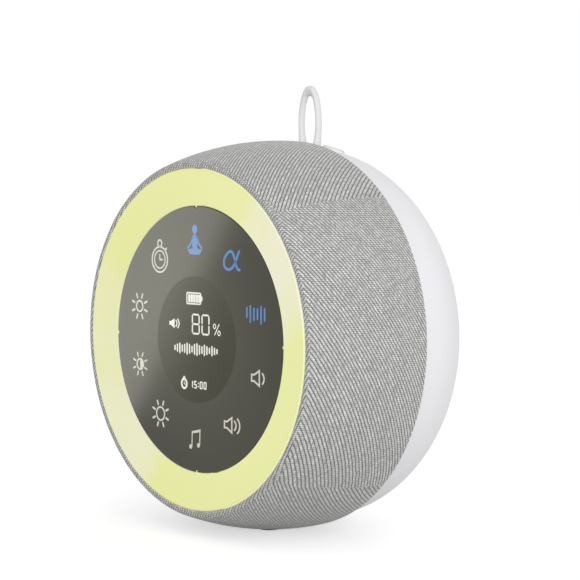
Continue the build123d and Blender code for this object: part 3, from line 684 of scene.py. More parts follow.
@dataclass(frozen=True)
class TwillCloth:
    """Woven polyester speaker twill: light warp floats in slanting ribs over darker weft, with painted shade
    in the grooves.

    The weave map gives millimetres across the warp threads and across the weft threads.
    """

    name: str = "twill_cloth"
    thread_light: str = "FBFBF9"
    thread_shade: str = "E2E2E0"
    # Colour of the weft in the gaps, darkened further as painted shade for the grooves between ribs
    gap: str = "727271"
    warp_spacing: float = 0.347
    weft_spacing: float = 0.538
    repeat: float = 3.0
    rib_full: float = 0.5
    row_dip: float = 0.66
    column_dip: float = 0.36
    slack: float = 0.42
    relief: float = 0.07
    wander: float = 0.1
    wander_mm: float = 2.222
    roughness: float = 0.85
    sheen: float = 0.25
    specular: float = 0.2

    def wave(self, node: Callable[..., Node], turns: Node, low: float) -> Node:
        """Node of a level that swings from 1 at whole turns to low at half turns."""
        swing = node("Math", node("Math", turns, math.tau, operation="MULTIPLY"), operation="COSINE")
        return node("MapRange", swing, -1.0, To_Min=low, To_Max=1.0)

    def build(self) -> Material:
        """Builds the woven cloth.

        Returns:
            The material.
        """
        material, node = start_material(self.name)
        weave = node("UVMap", uv_map="weave")
        across, along = node("SeparateXYZ", weave).outputs[:2]
        # The threads wander a little, so no rib is dead straight
        drift = node("TexNoise", weave, Scale=1 / self.wander_mm, Detail=1.0)
        sway = node("MapRange", drift, To_Min=-self.wander, To_Max=self.wander)
        warp = node("Math", node("Math", across, sway), self.warp_spacing, operation="DIVIDE")
        weft = node("Math", along, self.weft_spacing, operation="DIVIDE")
        turns = node("Math", node("Math", warp, weft), self.repeat, operation="DIVIDE")
        ribs = self.wave(node, turns, 0.0)
        rib = node("MapRange", ribs, 0.0, self.rib_full, interpolation_type="SMOOTHSTEP")
        rows, columns = self.wave(node, weft, 1 - self.row_dip), self.wave(node, warp, 1 - self.column_dip)
        even = node("Math", rib, node("Math", rows, columns, operation="MULTIPLY"), operation="MULTIPLY")
        # Every crossing sits a little higher or lower than the next
        crossing = node("VectorMath", node("CombineXYZ", warp, weft), operation="FLOOR")
        luck = node("TexWhiteNoise", crossing, noise_dimensions="2D")
        lift = node("MapRange", luck, To_Min=1 - self.slack, To_Max=1 + self.slack)
        height = node("Math", even, lift, operation="MULTIPLY")
        # Every float is one stretch of one thread, a little lighter or darker than the next
        number = node("Math", warp, operation="FLOOR")
        floats = node("Math", node("Math", number, weft), self.repeat, operation="DIVIDE")
        cell = node("CombineXYZ", number, node("Math", floats, operation="ROUND"))
        chance = node("TexWhiteNoise", cell, noise_dimensions="2D")
        thread = node("Mix", chance, linear(self.thread_shade), linear(self.thread_light), data_type="RGBA")
        # Painted shade: the colour follows the relief, so the grooves, the row and column dips and the lower
        # crossings turn darker
        return end_material(
            material,
            Base_Color=node("Mix", height, linear(self.gap), thread, data_type="RGBA"),
            Normal=node("Bump", Height=height, Distance=self.relief * MM),
            Roughness=self.roughness,
            Sheen_Weight=self.sheen,
            Specular_IOR_Level=self.specular,
        )


@dataclass(frozen=True)
class SmokedAcrylic:
    """Cast smoked acrylic, polished, with a darker clear window over the display and painted light that
    lightens it towards the window.
    """

    name: str = "smoked_acrylic"
    tint: str = "424135"
    window_tint: str = "2B2A17"
    window_radius: float = 17.4
    window_edge: float = 0.35
    # Painted light: how much lighter the base colour is at the window's edge
    painted_light_gain: float = 1.4
    outer_radius: float = 33.0
    clouding: Point2 = (0.94, 1.06)
    cloud_mm: float = 35.71
    roughness: float = 0.12
    window_roughness: float = 0.2
    ior: float = 1.36

    def build(self) -> Material:
        """Builds the panel's acrylic.

        Returns:
            The material.
        """
        material, node = start_material(self.name)
        place = node("TexCoord").outputs["Object"]
        radius = node("VectorMath", node("Mapping", place, **ROUND_AXIS), operation="LENGTH")
        edge = [(self.window_radius + side * self.window_edge) * MM for side in (-1, 1)]
        outside = node("MapRange", radius, *edge, interpolation_type="SMOOTHSTEP")
        tint = node("Mix", outside, linear(self.window_tint), linear(self.tint), data_type="RGBA")
        cloud = node("TexNoise", place, Scale=1 / (self.cloud_mm * MM), Detail=1.5)
        level = node("MapRange", cloud, *NOISE_RANGE, *self.clouding)
        # Painted light: the base colour grows lighter from the outer edge in towards the window
        reach = self.window_radius * MM, self.outer_radius * MM
        cloud_and_painted_light = node("MapRange", radius, *reach, self.painted_light_gain, level)
        return end_material(
            material,
            Base_Color=node("VectorMath", tint, cloud_and_painted_light, operation="SCALE"),
            Roughness=node("MapRange", outside, To_Min=self.window_roughness, To_Max=self.roughness),
            IOR=self.ior,
        )


@dataclass(frozen=True)
class LitDiffuser:
    """Opal polycarbonate lit from behind: yellow-green glow that pales to cream in some places.

    Each cloud of cream has the angle of its middle, where it ends and its strength.
    """

    name: str = "lit_diffuser"
    plastic: str = "A2A27C"
    glow_green: str = "ABB062"
    glow_cream: str = "B2B0A2"
    glow_strength: float = 1.0
    # Painted light on the side walls: their extra glow, their paleness and the slope that marks them
    painted_wall_light_gain: float = 1.4
    painted_wall_paleness: float = 0.6
    painted_wall_slope: float = -0.3
    cloud_mm: float = 17.0
    raggedness: float = 0.05
    frost_mm: float = 0.4
    clouds: tuple[Point3, ...] = ((29.5, 0.87, 1.0), (214.0, 0.79, 0.8), (172.0, 0.88, 0.42))
    roughness: float = 0.42
    roughness_spread: float = 0.05
    ior: float = 1.58

    def cream_share(self, node: Callable[..., Node], place: NodeSocket) -> Node:
        """Share of cream light, from 0 to 1.

        Args:
            node: function that adds a node to the material.
            place: socket of the object coordinates in metres.

        Returns:
            The share's node.
        """
        way = node("VectorMath", node("Mapping", place, **ROUND_AXIS), operation="NORMALIZE")
        noise = node("TexNoise", place, Scale=1 / (self.cloud_mm * MM), Detail=2.0)
        ragged = node("MapRange", noise, *NOISE_RANGE, -self.raggedness, self.raggedness)
        share: Any = 0.0
        for degrees, edge, strength in self.clouds:
            middle = (math.cos(math.radians(degrees)), 0.0, math.sin(math.radians(degrees)))
            near = node("Math", node("VectorMath", way, middle, operation="DOT_PRODUCT"), ragged)
            cloud = node("MapRange", near, edge, 1.0, To_Max=strength, interpolation_type="SMOOTHSTEP")
            share = node("Math", share, cloud)
        return share

    def build(self) -> Material:
        """Builds the glowing diffuser.

        Returns:
            The material.
        """
        material, node = start_material(self.name)
        place = node("TexCoord").outputs["Object"]
        # Painted light: the side walls glow paler and brighter than the face, filling the shade that falls on
        # them
        facing = node("SeparateXYZ", node("NewGeometry").outputs["Normal"]).outputs["Y"]
        side = node("MapRange", facing, -1.0, self.painted_wall_slope)
        cream = self.cream_share(node, place)
        pale = node("Math", side, self.painted_wall_paleness, cream, operation="MULTIPLY_ADD")
        bright = self.glow_strength * self.painted_wall_light_gain
        green, pale_cream = linear(self.glow_green), linear(self.glow_cream)
        frost = node("TexNoise", place, Scale=1 / (self.frost_mm * MM), Detail=2.0)
        low, high = self.roughness - self.roughness_spread, self.roughness + self.roughness_spread
        return end_material(
            material,
            Base_Color=linear(self.plastic),
            Roughness=node("MapRange", frost, To_Min=low, To_Max=high),
            IOR=self.ior,
            Emission_Color=node("Mix", pale, green, pale_cream, data_type="RGBA"),
            Emission_Strength=node("MapRange", side, To_Min=self.glow_strength, To_Max=bright),
        )


@dataclass(frozen=True)
class LitInk:
    """Translucent ink lit from behind under the panel's own gloss, even and bright."""

    name: str
    colour: str
    glow: float = 0.52
    reflects: float = 0.5
    grain: Point2 = (0.94, 1.04)
    grain_mm: float = 1.111
    roughness: float = 0.12
    ior: float = 1.36

    def build(self) -> Material:
        """Builds the lit ink.

        Returns:
            The material.
        """
        material, node = start_material(self.name)
        place = node("TexCoord").outputs["Object"]
        print_grain = node("TexNoise", place, Scale=1 / (self.grain_mm * MM), Detail=1.0)
        level = node("MapRange", print_grain, *NOISE_RANGE, *self.grain)
        toned = node("VectorMath", linear(self.colour)[:3], level, operation="SCALE")
        return end_material(
            material,
            Base_Color=node("VectorMath", toned, self.reflects, operation="SCALE"),
            Roughness=self.roughness,
            IOR=self.ior,
            Emission_Color=toned,
            Emission_Strength=self.glow,
        )


@dataclass(frozen=True)
class CircuitLaminate:
    """Glass-epoxy board under green solder mask, with paler copper tracks and pads."""

    name: str = "circuit_laminate"
    mask: str = "14512F"
    track: str = "2C7A4A"
    track_mm: float = 1.6
    track_edge: Point2 = (0.40, 0.44)
    relief: float = 0.035
    roughness: float = 0.32

    def build(self) -> Material:
        """Builds the circuit board.

        Returns:
            The material.
        """
        material, node = start_material(self.name)
        laid = node("Mapping", node("TexCoord").outputs["Object"], Rotation=(math.pi / 2, 0, 0))
        scale = 1 / (self.track_mm * 2 * MM)
        tracks = node("TexVoronoi", laid, scale, Randomness=0.6, distance="CHEBYCHEV", feature="F1")
        edge = node("MapRange", tracks, *self.track_edge)
        return end_material(
            material,
            Base_Color=node("Mix", edge, linear(self.mask), linear(self.track), data_type="RGBA"),
            Normal=node("Bump", Height=edge, Distance=self.relief * MM),
            Roughness=self.roughness,
        )


# Grain, brushing and pores are finer on the real materials. They are drawn 0.1 to 0.6 mm coarse,
# so that they show.

# Bright zinc-plated steel: small even glints, slightly milky
ZINC_STEEL = Finish(
    "zinc_plated_steel", "B9BCC0", "A4A7AB", 0.32, 0.08, 1.0, pattern_mm=0.25, relief_mm=0.004
)
# Moulded ABS with a fine spark-eroded grain: soft satin white with hardly any highlight
SHELL_ABS = Finish(
    "moulded_white_abs", "EAEAEC", "E7E7EA", 0.42, 0.05,
    ior=1.46, pattern_mm=0.35, relief_mm=0.004, mottle_mm=40,
)
# Liquid silicone rubber: matt, faintly translucent-looking white
SILICONE = Finish(
    "white_silicone_rubber", "E2E2E3", "DDDDDF", 0.55, 0.05,
    ior=1.41, pattern_mm=0.5, relief_mm=0.003, mottle_mm=9,
)
# Black moulded rubber with a dull bloom
FOOT_RUBBER = Finish(
    "moulded_foot_rubber", "3A3A3B", "454546", 0.78, pattern_mm=0.4, relief_mm=0.015, mottle_mm=3
)
# Unpainted white ABS of the inner frames
INNER_WHITE = Finish(
    "inner_white_abs", "E4E4E2", "DCDCDA", 0.5, 0.05, pattern_mm=0.4, relief_mm=0.005, mottle_mm=14
)
# Grey glass-filled ABS: faint flow mottling
INNER_GREY = Finish(
    "inner_grey_abs", "8B8D90", "7E8083", 0.52, 0.07, pattern_mm=0.35, relief_mm=0.008, mottle_mm=10
)
# Open-cell polyurethane foam: dark pores
FOAM = Finish(
    "open_cell_foam", "3B3C3E", "2C2D2F", 0.95, 0.03,
    surface=Surface.PORES, pattern_mm=0.6, relief_mm=0.15, mottle_mm=2,
)
# Pressed steel, zinc plated: fine lines of the rolling
PRESSED_STEEL = Finish(
    "pressed_zinc_steel", "9C9FA3", "8D9094", 0.36, 0.07, 1.0,
    surface=Surface.BRUSHED, pattern_mm=0.4, relief_mm=0.004,
)
# Sintered ferrite: dark, dry, slightly grainy
FERRITE = Finish(
    "sintered_ferrite", "2B2A2C", "363537", 0.66, 0.08, pattern_mm=0.25, relief_mm=0.02, mottle_mm=2
)
# Enamelled copper wire wound in close turns: bright red-brown lines
COPPER_WIRE = Finish(
    "wound_copper_wire", "B5652F", "9A5226", 0.3, 0.05, 1.0,
    surface=Surface.WOUND, pattern_mm=0.25, relief_mm=0.06,
)
# Pressed paper pulp with long fibres: dull and dark
CONE_PAPER = Finish(
    "pressed_cone_paper", "34332F", "45433E", 0.9, 0.04,
    surface=Surface.FIBRES, pattern_mm=0.5, relief_mm=0.05, mottle_mm=1.5,
)
# Butyl rubber roll: smooth satin black
SURROUND_RUBBER = Finish(
    "butyl_rubber_roll", "1E1E1F", "262627", 0.5, 0.05, pattern_mm=0.5, relief_mm=0.004, mottle_mm=4
)
# Resin-dipped cotton of the spider, amber, with its weave showing
SPIDER_COTTON = Finish(
    "resin_dipped_cotton", "B98F4E", "9C7639", 0.75,
    surface=Surface.PORES, pattern_mm=0.35, relief_mm=0.05, mottle_mm=1.2,
)
# Heat-shrunk film over the battery: glossy blue with slight ripples
BATTERY_FILM = Finish(
    "shrunk_battery_film", "3F6FA8", "38649A", 0.28, pattern_mm=1.8, relief_mm=0.03, mottle_mm=8
)
# Epoxy moulding compound of chips and switches: dull black
CHIP_EPOXY = Finish(
    "chip_moulding_epoxy", "232426", "2C2D2F", 0.55, pattern_mm=0.2, relief_mm=0.006, mottle_mm=1.5
)
# Tin-plated brass shell of the socket: soft bright grey
TINNED_SHELL = Finish(
    "tinned_socket_shell", "B4B6B8", "A6A8AA", 0.28, metallic=1.0,
    surface=Surface.BRUSHED, pattern_mm=0.2, relief_mm=0.003,
)
# Gold flash on the contacts: bright yellow
GOLD_FLASH = Finish(
    "gold_flashed_contacts", "D6B25E", "C9A552", 0.25, 0.05, 1.0,
    surface=Surface.BRUSHED, pattern_mm=0.1, relief_mm=0.002,
)
# Polyimide film with laminated conductors: amber, with fine lines
RIBBON_FILM = Finish(
    "polyimide_ribbon_film", "C77B22", "A8641A", 0.3, 0.05,
    surface=Surface.WOUND, pattern_mm=0.5, relief_mm=0.02, mottle_mm=6,
)
# White ceramic lamp package with its phosphor lens: pale yellow, glowing a little
LAMP_PACKAGE = Finish(
    "lamp_package_phosphor", "E8DFA0", "EDEBDC", 0.4, 0.05, relief_mm=0.004, mottle_mm=0.8, glow=0.6
)
# Polished cover glass of the display: black with sharp reflections
DISPLAY_GLASS = Finish(
    "display_cover_glass", "0D0E10", "101214", 0.06, 0.02, ior=1.52, pattern_mm=3.0, relief_mm=0.0005
)
# Speaker twill: pale grey slanting ribs with a dry sheen
TWILL = TwillCloth()
# Smoked acrylic: dark olive gloss, darker over the display
ACRYLIC = SmokedAcrylic()
# Opal diffuser: soft yellow-green light with cream patches
DIFFUSER = LitDiffuser()
# Lit inks: flat even light in warm white, clear white and sky blue
CREAM_INK = LitInk("lit_cream_ink", "D4D1C4")
WHITE_INK = LitInk("lit_white_ink", "F3F4EA", 0.53)
BLUE_INK = LitInk("lit_blue_ink", "5C8BC5")
# Circuit board: deep green gloss with paler tracks
LAMINATE = CircuitLaminate()


# ---------------------------------------------------------------- flat symbols on the panel
@dataclass
class Symbols:
    """Flat shapes across the panel's face, gathered as prisms of one thickness."""

    stroke_width: float = 0.5
    lift: float = 0.05
    bury: float = 0.03
    colon_heights: Point2 = (0.3, 0.7)
    dot_share: float = 0.62
    faces: list[list[Point2]] = field(default_factory=list)

    def disc(self, centre: Point2, radius: float, tall: float = 1.0) -> None:
        """Adds a filled disc."""
        self.faces.append(arc(centre, radius, 0, 360, 32, tall)[:-1])

    def stroke(self, points: list[Point2], width: float | None = None, closed: bool = False) -> None:
        """Adds a line of even width with round ends.

        Args:
            points: the line's points.
            width: its width, or None for the usual one.
            closed: whether the last point joins the first.
        """
        half = (width or self.stroke_width) / 2
        line = np.array(points, float)
        count = len(line)
        before = np.roll(line, 1, axis=0) if closed else np.vstack([line[:1], line[:-1]])
        after = np.roll(line, -1, axis=0) if closed else np.vstack([line[1:], line[-1:]])
        ahead, behind = after - line, line - before
        ahead[np.linalg.norm(ahead, axis=1) < 1e-9] = behind[np.linalg.norm(ahead, axis=1) < 1e-9]
        behind[np.linalg.norm(behind, axis=1) < 1e-9] = ahead[np.linalg.norm(behind, axis=1) < 1e-9]
        ahead /= np.linalg.norm(ahead, axis=1)[:, None]
        behind /= np.linalg.norm(behind, axis=1)[:, None]
        middle = ahead + behind
        middle /= np.maximum(np.linalg.norm(middle, axis=1), 1e-6)[:, None]
        stretch = 1 / np.clip((middle * ahead).sum(1), 0.5, 1)
        side = np.stack([-middle[:, 1], middle[:, 0]], axis=1) * (half * stretch)[:, None]
        left, right = line + side, line - side
        for i in range(count if closed else count - 1):
            j = (i + 1) % count
            self.faces.append([right[i], right[j], left[j], left[i]])
        if not closed:
            for end, way, quarter in ((0, behind[0], 90), (count - 1, ahead[-1], -90)):
                turn = math.degrees(math.atan2(way[1], way[0])) + quarter
                self.faces.append(arc(line[end], half, turn, turn + 180, 8))

    def ring(self, centre: Point2, radius: float, width: float | None = None, tall: float = 1.0) -> None:
        """Adds a ring of even width round a centre."""
        self.stroke(arc(centre, radius, 0, 360, 36, tall)[:-1], width, closed=True)

    def seven_segments(
        self, text: str, corner: Point2, size: Point2, thick: float, gap: float, notch: float
    ) -> None:
        """Adds digits made of seven straight segments.

        Args:
            text: digits and colons.
            corner: lower left corner of the first digit.
            size: width and height of a digit.
            thick: thickness of a segment.
            gap: space between digits.
            notch: what each segment stops short of its corner.
        """
        lit = {"0": "abcdef", "1": "bc", "5": "acdfg", "8": "abcdefg"}
        (left, low), (width, height) = corner, size
        half = thick / 2
        for sign in text:
            if sign == ":":
                for share in self.colon_heights:
                    self.disc((left + half, low + height * share), thick * self.dot_share)
                left += thick + gap
                continue
            x0, x1 = left + half, left + width - half
            z0, z1, z2 = low + half, low + height / 2, low + height - half
            ends = {
                "a": ((x0, z2), (x1, z2)),
                "b": ((x1, z1), (x1, z2)),
                "c": ((x1, z0), (x1, z1)),
                "d": ((x0, z0), (x1, z0)),
                "e": ((x0, z0), (x0, z1)),
                "f": ((x0, z1), (x0, z2)),
                "g": ((x0, z1), (x1, z1)),
            }
            for segment in lit[sign]:
                start, end = (np.array(point) for point in ends[segment])
                along = (end - start) / np.abs(end - start).sum()
                start, end = start + notch * along, end - notch * along
                tip, side = half * along, half * np.array((along[1], -along[0]))
                near, far = start + tip, end - tip
                self.faces.append([start, near + side, far + side, end, far - side, near - side])
            left += width + gap

    def mesh(self, finish: Material) -> Mesh:
        """Turns the shapes into prisms on the panel's face.

        Args:
            finish: material of the shapes.

        Returns:
            The mesh.
        """
        cage = bmesh.new()
        for outline in self.faces:
            add_skin(cage, [[at_depth(x, depth, z) for x, z in outline] for depth in (-self.lift, self.bury)])
        return end_cage(cage, finish)


# ---------------------------------------------------------------- sub-assemblies
@dataclass
class Workshop:
    """Geometry trees and finishes that the sub-assemblies share."""

    turned: NodeTree = field(default_factory=turned_tree)
    screws: NodeTree = field(default_factory=screw_tree)
    lamps: NodeTree = field(default_factory=lamp_tree)
    wire: NodeTree = field(default_factory=swept_tree)
    contacts: NodeTree = field(default_factory=contact_tree)
    finishes: dict[str, Material] = field(default_factory=dict)
    head_share: float = 0.28
    shank_share: float = 0.46
    no_floor: float = -100.0

    def finish(self, kind: Any) -> Material:
        """Material of a finish, made once.

        Args:
            kind: a finish with a name and a build method.

        Returns:
            The material.
        """
        if kind.name not in self.finishes:
            self.finishes[kind.name] = kind.build()
        return self.finishes[kind.name]

    def dress(self, kind: Any, *nodes: str) -> None:
        """Gives CAD nodes a better material on all their slots.

        Args:
            kind: the finish.
            nodes: the nodes' names.
        """
        material = self.finish(kind)
        for node in nodes:
            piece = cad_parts[node]
            if not piece.material_slots:
                piece.data.materials.append(material)
            for slot in piece.material_slots:
                slot.material = material
            log.info("%s dressed in %s", node, kind.name)

    def turn(self, outline: list[tuple[float, ...]], kind: Any, segments: int) -> Mesh:
        """Turns a closed outline round the drum's axis.

        Args:
            outline: (depth, radius) points, or (depth, radius, lowest height) points.
            kind: the finish.
            segments: facets round the axis.

        Returns:
            A closed plain mesh with its faces outwards.
        """
        rows = [(*r, self.no_floor)[:3] for r in (*outline, outline[0])]
        seed = raw_mesh([(depth * MM, radius * MM, lowest * MM) for depth, radius, lowest in rows])
        sizes = {"Segments": segments, "Outline_Points": len(rows)}
        return close_up(grow(self.turned, seed, self.finish(kind), **sizes))

    def fasten(self, name: str, pitch: float, heads_forward: bool = False) -> None:
        """Replaces a node of plain screws with cross-recess screws in the same places.

        Args:
            name: the CAD node.
            pitch: thread pitch.
            heads_forward: whether the heads face the front of the machine.
        """
        boxes = islands(name)
        low, high = boxes[0]
        radius, length = (high.x - low.x) / 2, high.y - low.y
        height = self.head_share * 2 * radius
        seats = [
            Vector(((a.x + b.x) / 2, a.y + height if heads_forward else b.y - height, (a.z + b.z) / 2))
            for a, b in boxes
        ]
        mesh = grow(
            self.screws,
            raw_mesh(seats),
            self.finish(ZINC_STEEL),
            Head_Radius=radius,
            Head_Height=height,
            Shank_Radius=radius * self.shank_share,
            Shank_Length=length - height,
            Thread_Pitch=pitch * MM,
            Heads_Forward=int(heads_forward),
        )
        new_piece(name + "_cut", mesh, name)


@dataclass
class TouchFace:
    """Touch panel with its ten icons, the display's content and the glowing ring."""

    shop: Workshop
    wave_bend: float = 1.25

    def sun(self, ink: Symbols, centre: Point2, radius: float, near: float, far: float, width: float) -> None:
        """Draws a ring with eight rays.

        Args:
            ink: shapes to add to.
            centre: middle of the sun.
            radius: radius of its ring.
            near: where the rays start.
            far: where they end.
            width: width of the rays.
        """
        ink.ring(centre, radius)
        for i in range(8):
            angle = math.radians(22.5 + 45 * i)
            ray = [(centre[0] + r * math.cos(angle), centre[1] + r * math.sin(angle)) for r in (near, far)]
            ink.stroke(ray, width)

    def loudspeaker(self, ink: Symbols, left: float, middle: float, waves: list[Point2]) -> None:
        """Draws the outline of a loudspeaker and its sound waves.

        Args:
            ink: shapes to add to.
            left: left edge.
            middle: height of its middle.
            waves: distance right of the horn and half height of each wave.
        """
        width, horn, box, neck = 3.15, 2.0, 1.071, 0.84
        profile = [(0, -neck), (box, -neck), (width, -horn), (width, horn), (box, neck), (0, neck)]
        ink.stroke([(left + x, middle + z) for x, z in profile], closed=True)
        angle = math.degrees(math.asin(1 / self.wave_bend))
        for reach, tall in waves:
            radius = tall * self.wave_bend
            ink.stroke(arc((left + width + reach - radius, middle), radius, -angle, angle, 12))

    def rounded(self, points: list[Point2], passes: int = 3) -> list[Point2]:
        """Rounds a line by cutting its corners.

        Args:
            points: the line.
            passes: how often its corners are cut.

        Returns:
            The smoother line.
        """
        for _ in range(passes):
            cut = [points[0]]
            for (ax, az), (bx, bz) in zip(points, points[1:]):
                cut += [((1 - t) * ax + t * bx, (1 - t) * az + t * bz) for t in (0.25, 0.75)]
            points = cut + [points[-1]]
        return points

    def blue_icons(self) -> None:
        """Draws the sitting figure, the alpha and the sound bars."""
        ink = Symbols()
        ink.disc((-0.36, 30.2), 1.14, 1.12)
        # Half of the body, an arm to the knee, and the folded leg
        body = [(0, 28.85), (0.6, 28.8), (0.95, 27.9), (1.25, 26.35), (1.05, 25.0), (0, 25.0)]
        arm = [
            (0.5, 28.8), (0.9, 28.6), (1.35, 27.7), (1.9, 26.6), (2.7, 25.85), (3.35, 25.3), (3.2, 24.75),
            (2.7, 25.0), (1.75, 25.95), (1.1, 26.9), (0.8, 27.6),
        ]
        leg = [
            (0, 25.1), (1.1, 25.0), (2.1, 24.7), (2.9, 24.85), (3.1, 24.7), (2.75, 24.0), (2.25, 23.45),
            (1.9, 23.3), (0, 23.3),
        ]
        for side in (-1, 1):
            for shape in (body, arm, leg):
                ink.faces.append([(-0.3 + side * x, z) for x, z in shape][::side])
        alpha = [
            (18.74, 24.5), (18.05, 23.2), (17.3, 21.8), (16.6, 20.75), (15.6, 19.9), (14.3, 19.55),
            (12.95, 19.95), (12.3, 21.0), (12.45, 22.4), (13.4, 23.6), (14.35, 24.35), (15.2, 24.55),
            (16.0, 24.3), (16.5, 23.5), (17.0, 22.4), (17.4, 21.3), (17.65, 20.5), (18.0, 19.95),
            (18.45, 19.7), (19.0, 19.65),
        ]
        ink.stroke(self.rounded(alpha), 0.78)
        bars = ((7.3, 9.65), (6.05, 10.25), (6.65, 9.55), (7.0, 9.55), (5.85, 10.2), (6.7, 9.7))
        for i, (low, high) in enumerate(bars):
            ink.stroke([(22.0 + 1.46 * i, low), (22.0 + 1.46 * i, high)], 0.62)
        new_piece("icons_blue", ink.mesh(self.shop.finish(BLUE_INK)))

    def cream_icons(self) -> None:
        """Draws the stopwatch, the suns, the notes and the two loudspeakers."""
        ink = Symbols()
        x, z = watch = (-16.28, 21.55)
        ink.ring(watch, 3.55)
        ink.ring(watch, 2.45, 0.42)
        ink.stroke([(x, z + 1.35), watch, (x + 1.25, z)], 0.44)
        ink.ring((x, 26.05), 0.95)
        ink.stroke([(-13.75, 24.2), (-13.25, 24.7)], 0.6)
        self.sun(ink, (-25.9, 8.05), 1.5, 2.55, 3.7, 0.58)
        self.sun(ink, (-25.75, -8.5), 1.5, 2.4, 3.4, 0.5)
        ink.faces.append(arc((-25.75, -8.5), 1.2, -90, 90, 16))
        self.sun(ink, (-16.2, -21.85), 1.85, 2.75, 3.8, 0.6)
        for x, z, top in ((-2.3, -29.75, -25.5), (1.15, -29.1, -24.75)):
            ink.disc((x - 0.1, z), 0.62)
            ink.stroke([(x + 0.42, z), (x + 0.62, top)], 0.36)
        ink.faces.append([(-1.88, -25.45), (-1.95, -26.1), (1.95, -25.35), (2.0, -24.6)])
        self.loudspeaker(ink, 23.95, -8.7, [(1.95, 1.35)])
        self.loudspeaker(ink, 12.45, -22.2, [(1.75, 1.2), (3.35, 1.9)])
        new_piece("icons_cream", ink.mesh(self.shop.finish(CREAM_INK)))

    def display_content(self) -> None:
        """Draws the battery, volume, level bars and timer of the display."""
        ink = Symbols()
        case = [
            (-3.75, 9.75), (1.95, 9.75), (2.25, 10.1), (2.25, 12.4),
            (1.95, 12.75), (-3.75, 12.75), (-3.95, 12.5), (-3.95, 10.0),
        ]
        ink.stroke(case, 0.4, closed=True)
        for x in (-3.35 + 1.13 * i for i in range(5)):
            ink.faces.append([(x, 10.15), (x + 0.95, 10.15), (x + 0.95, 12.35), (x, 12.35)])
        ink.faces.append([(2.4, 10.5), (2.95, 10.7), (2.95, 11.8), (2.4, 12.0)])
        horn = [(-11.95, 3.45), (-11.25, 3.45), (-9.6, 2.6), (-9.6, 5.3), (-11.25, 4.5), (-11.95, 4.5)]
        ink.faces.append(horn)
        for reach, tall in ((0.7, 0.85), (1.65, 1.25)):
            ink.stroke(arc((-9.35 + reach - tall * 1.1, 4.0), tall * 1.25, -50, 50, 10), 0.42)
        ink.seven_segments("80", (-1.75, 1.35), (3.5, 5.75), 0.5, 0.8, 0.1)
        for centre in ((8.25, 4.05), (10.2, 2.25)):
            ink.ring(centre, 0.52, 0.3, 1.15)
        ink.stroke([(8.3, 1.75), (10.2, 4.6)], 0.32)
        heights = (1.0, 1.7, 2.4, 1.5, 2.0, 2.8, 2.2, 1.3, 2.5, 3.0, 2.1, 1.6, 2.6, 1.9, 1.2, 2.3, 1.5, 0.9)
        for i, height in enumerate(heights):
            ink.stroke([(-9.4 + 1.1 * i, -2.75 + side * height / 2) for side in (-1, 1)], 0.56)
        x, z = clock = (-5.25, -12.5)
        ink.ring(clock, 1.15, 0.62, 1.12)
        ink.stroke([(x, z + 0.55), clock, (x + 0.45, z - 0.25)], 0.24)
        ink.faces.append([(x - 0.75, -11.35), (x + 0.75, -11.35), (x + 0.28, -10.4), (x - 0.28, -10.4)])
        ink.seven_segments("15:00", (-2.6, -13.5), (1.25, 2.1), 0.35, 0.48, -0.14)
        new_piece("display_content", ink.mesh(self.shop.finish(WHITE_INK)))

    def build(self) -> None:
        """Dresses the panel and ring and draws what the panel shows."""
        self.shop.dress(ACRYLIC, "touch_panel")
        self.shop.dress(DIFFUSER, "light_ring")
        self.blue_icons()
        self.cream_icons()
        self.display_content()


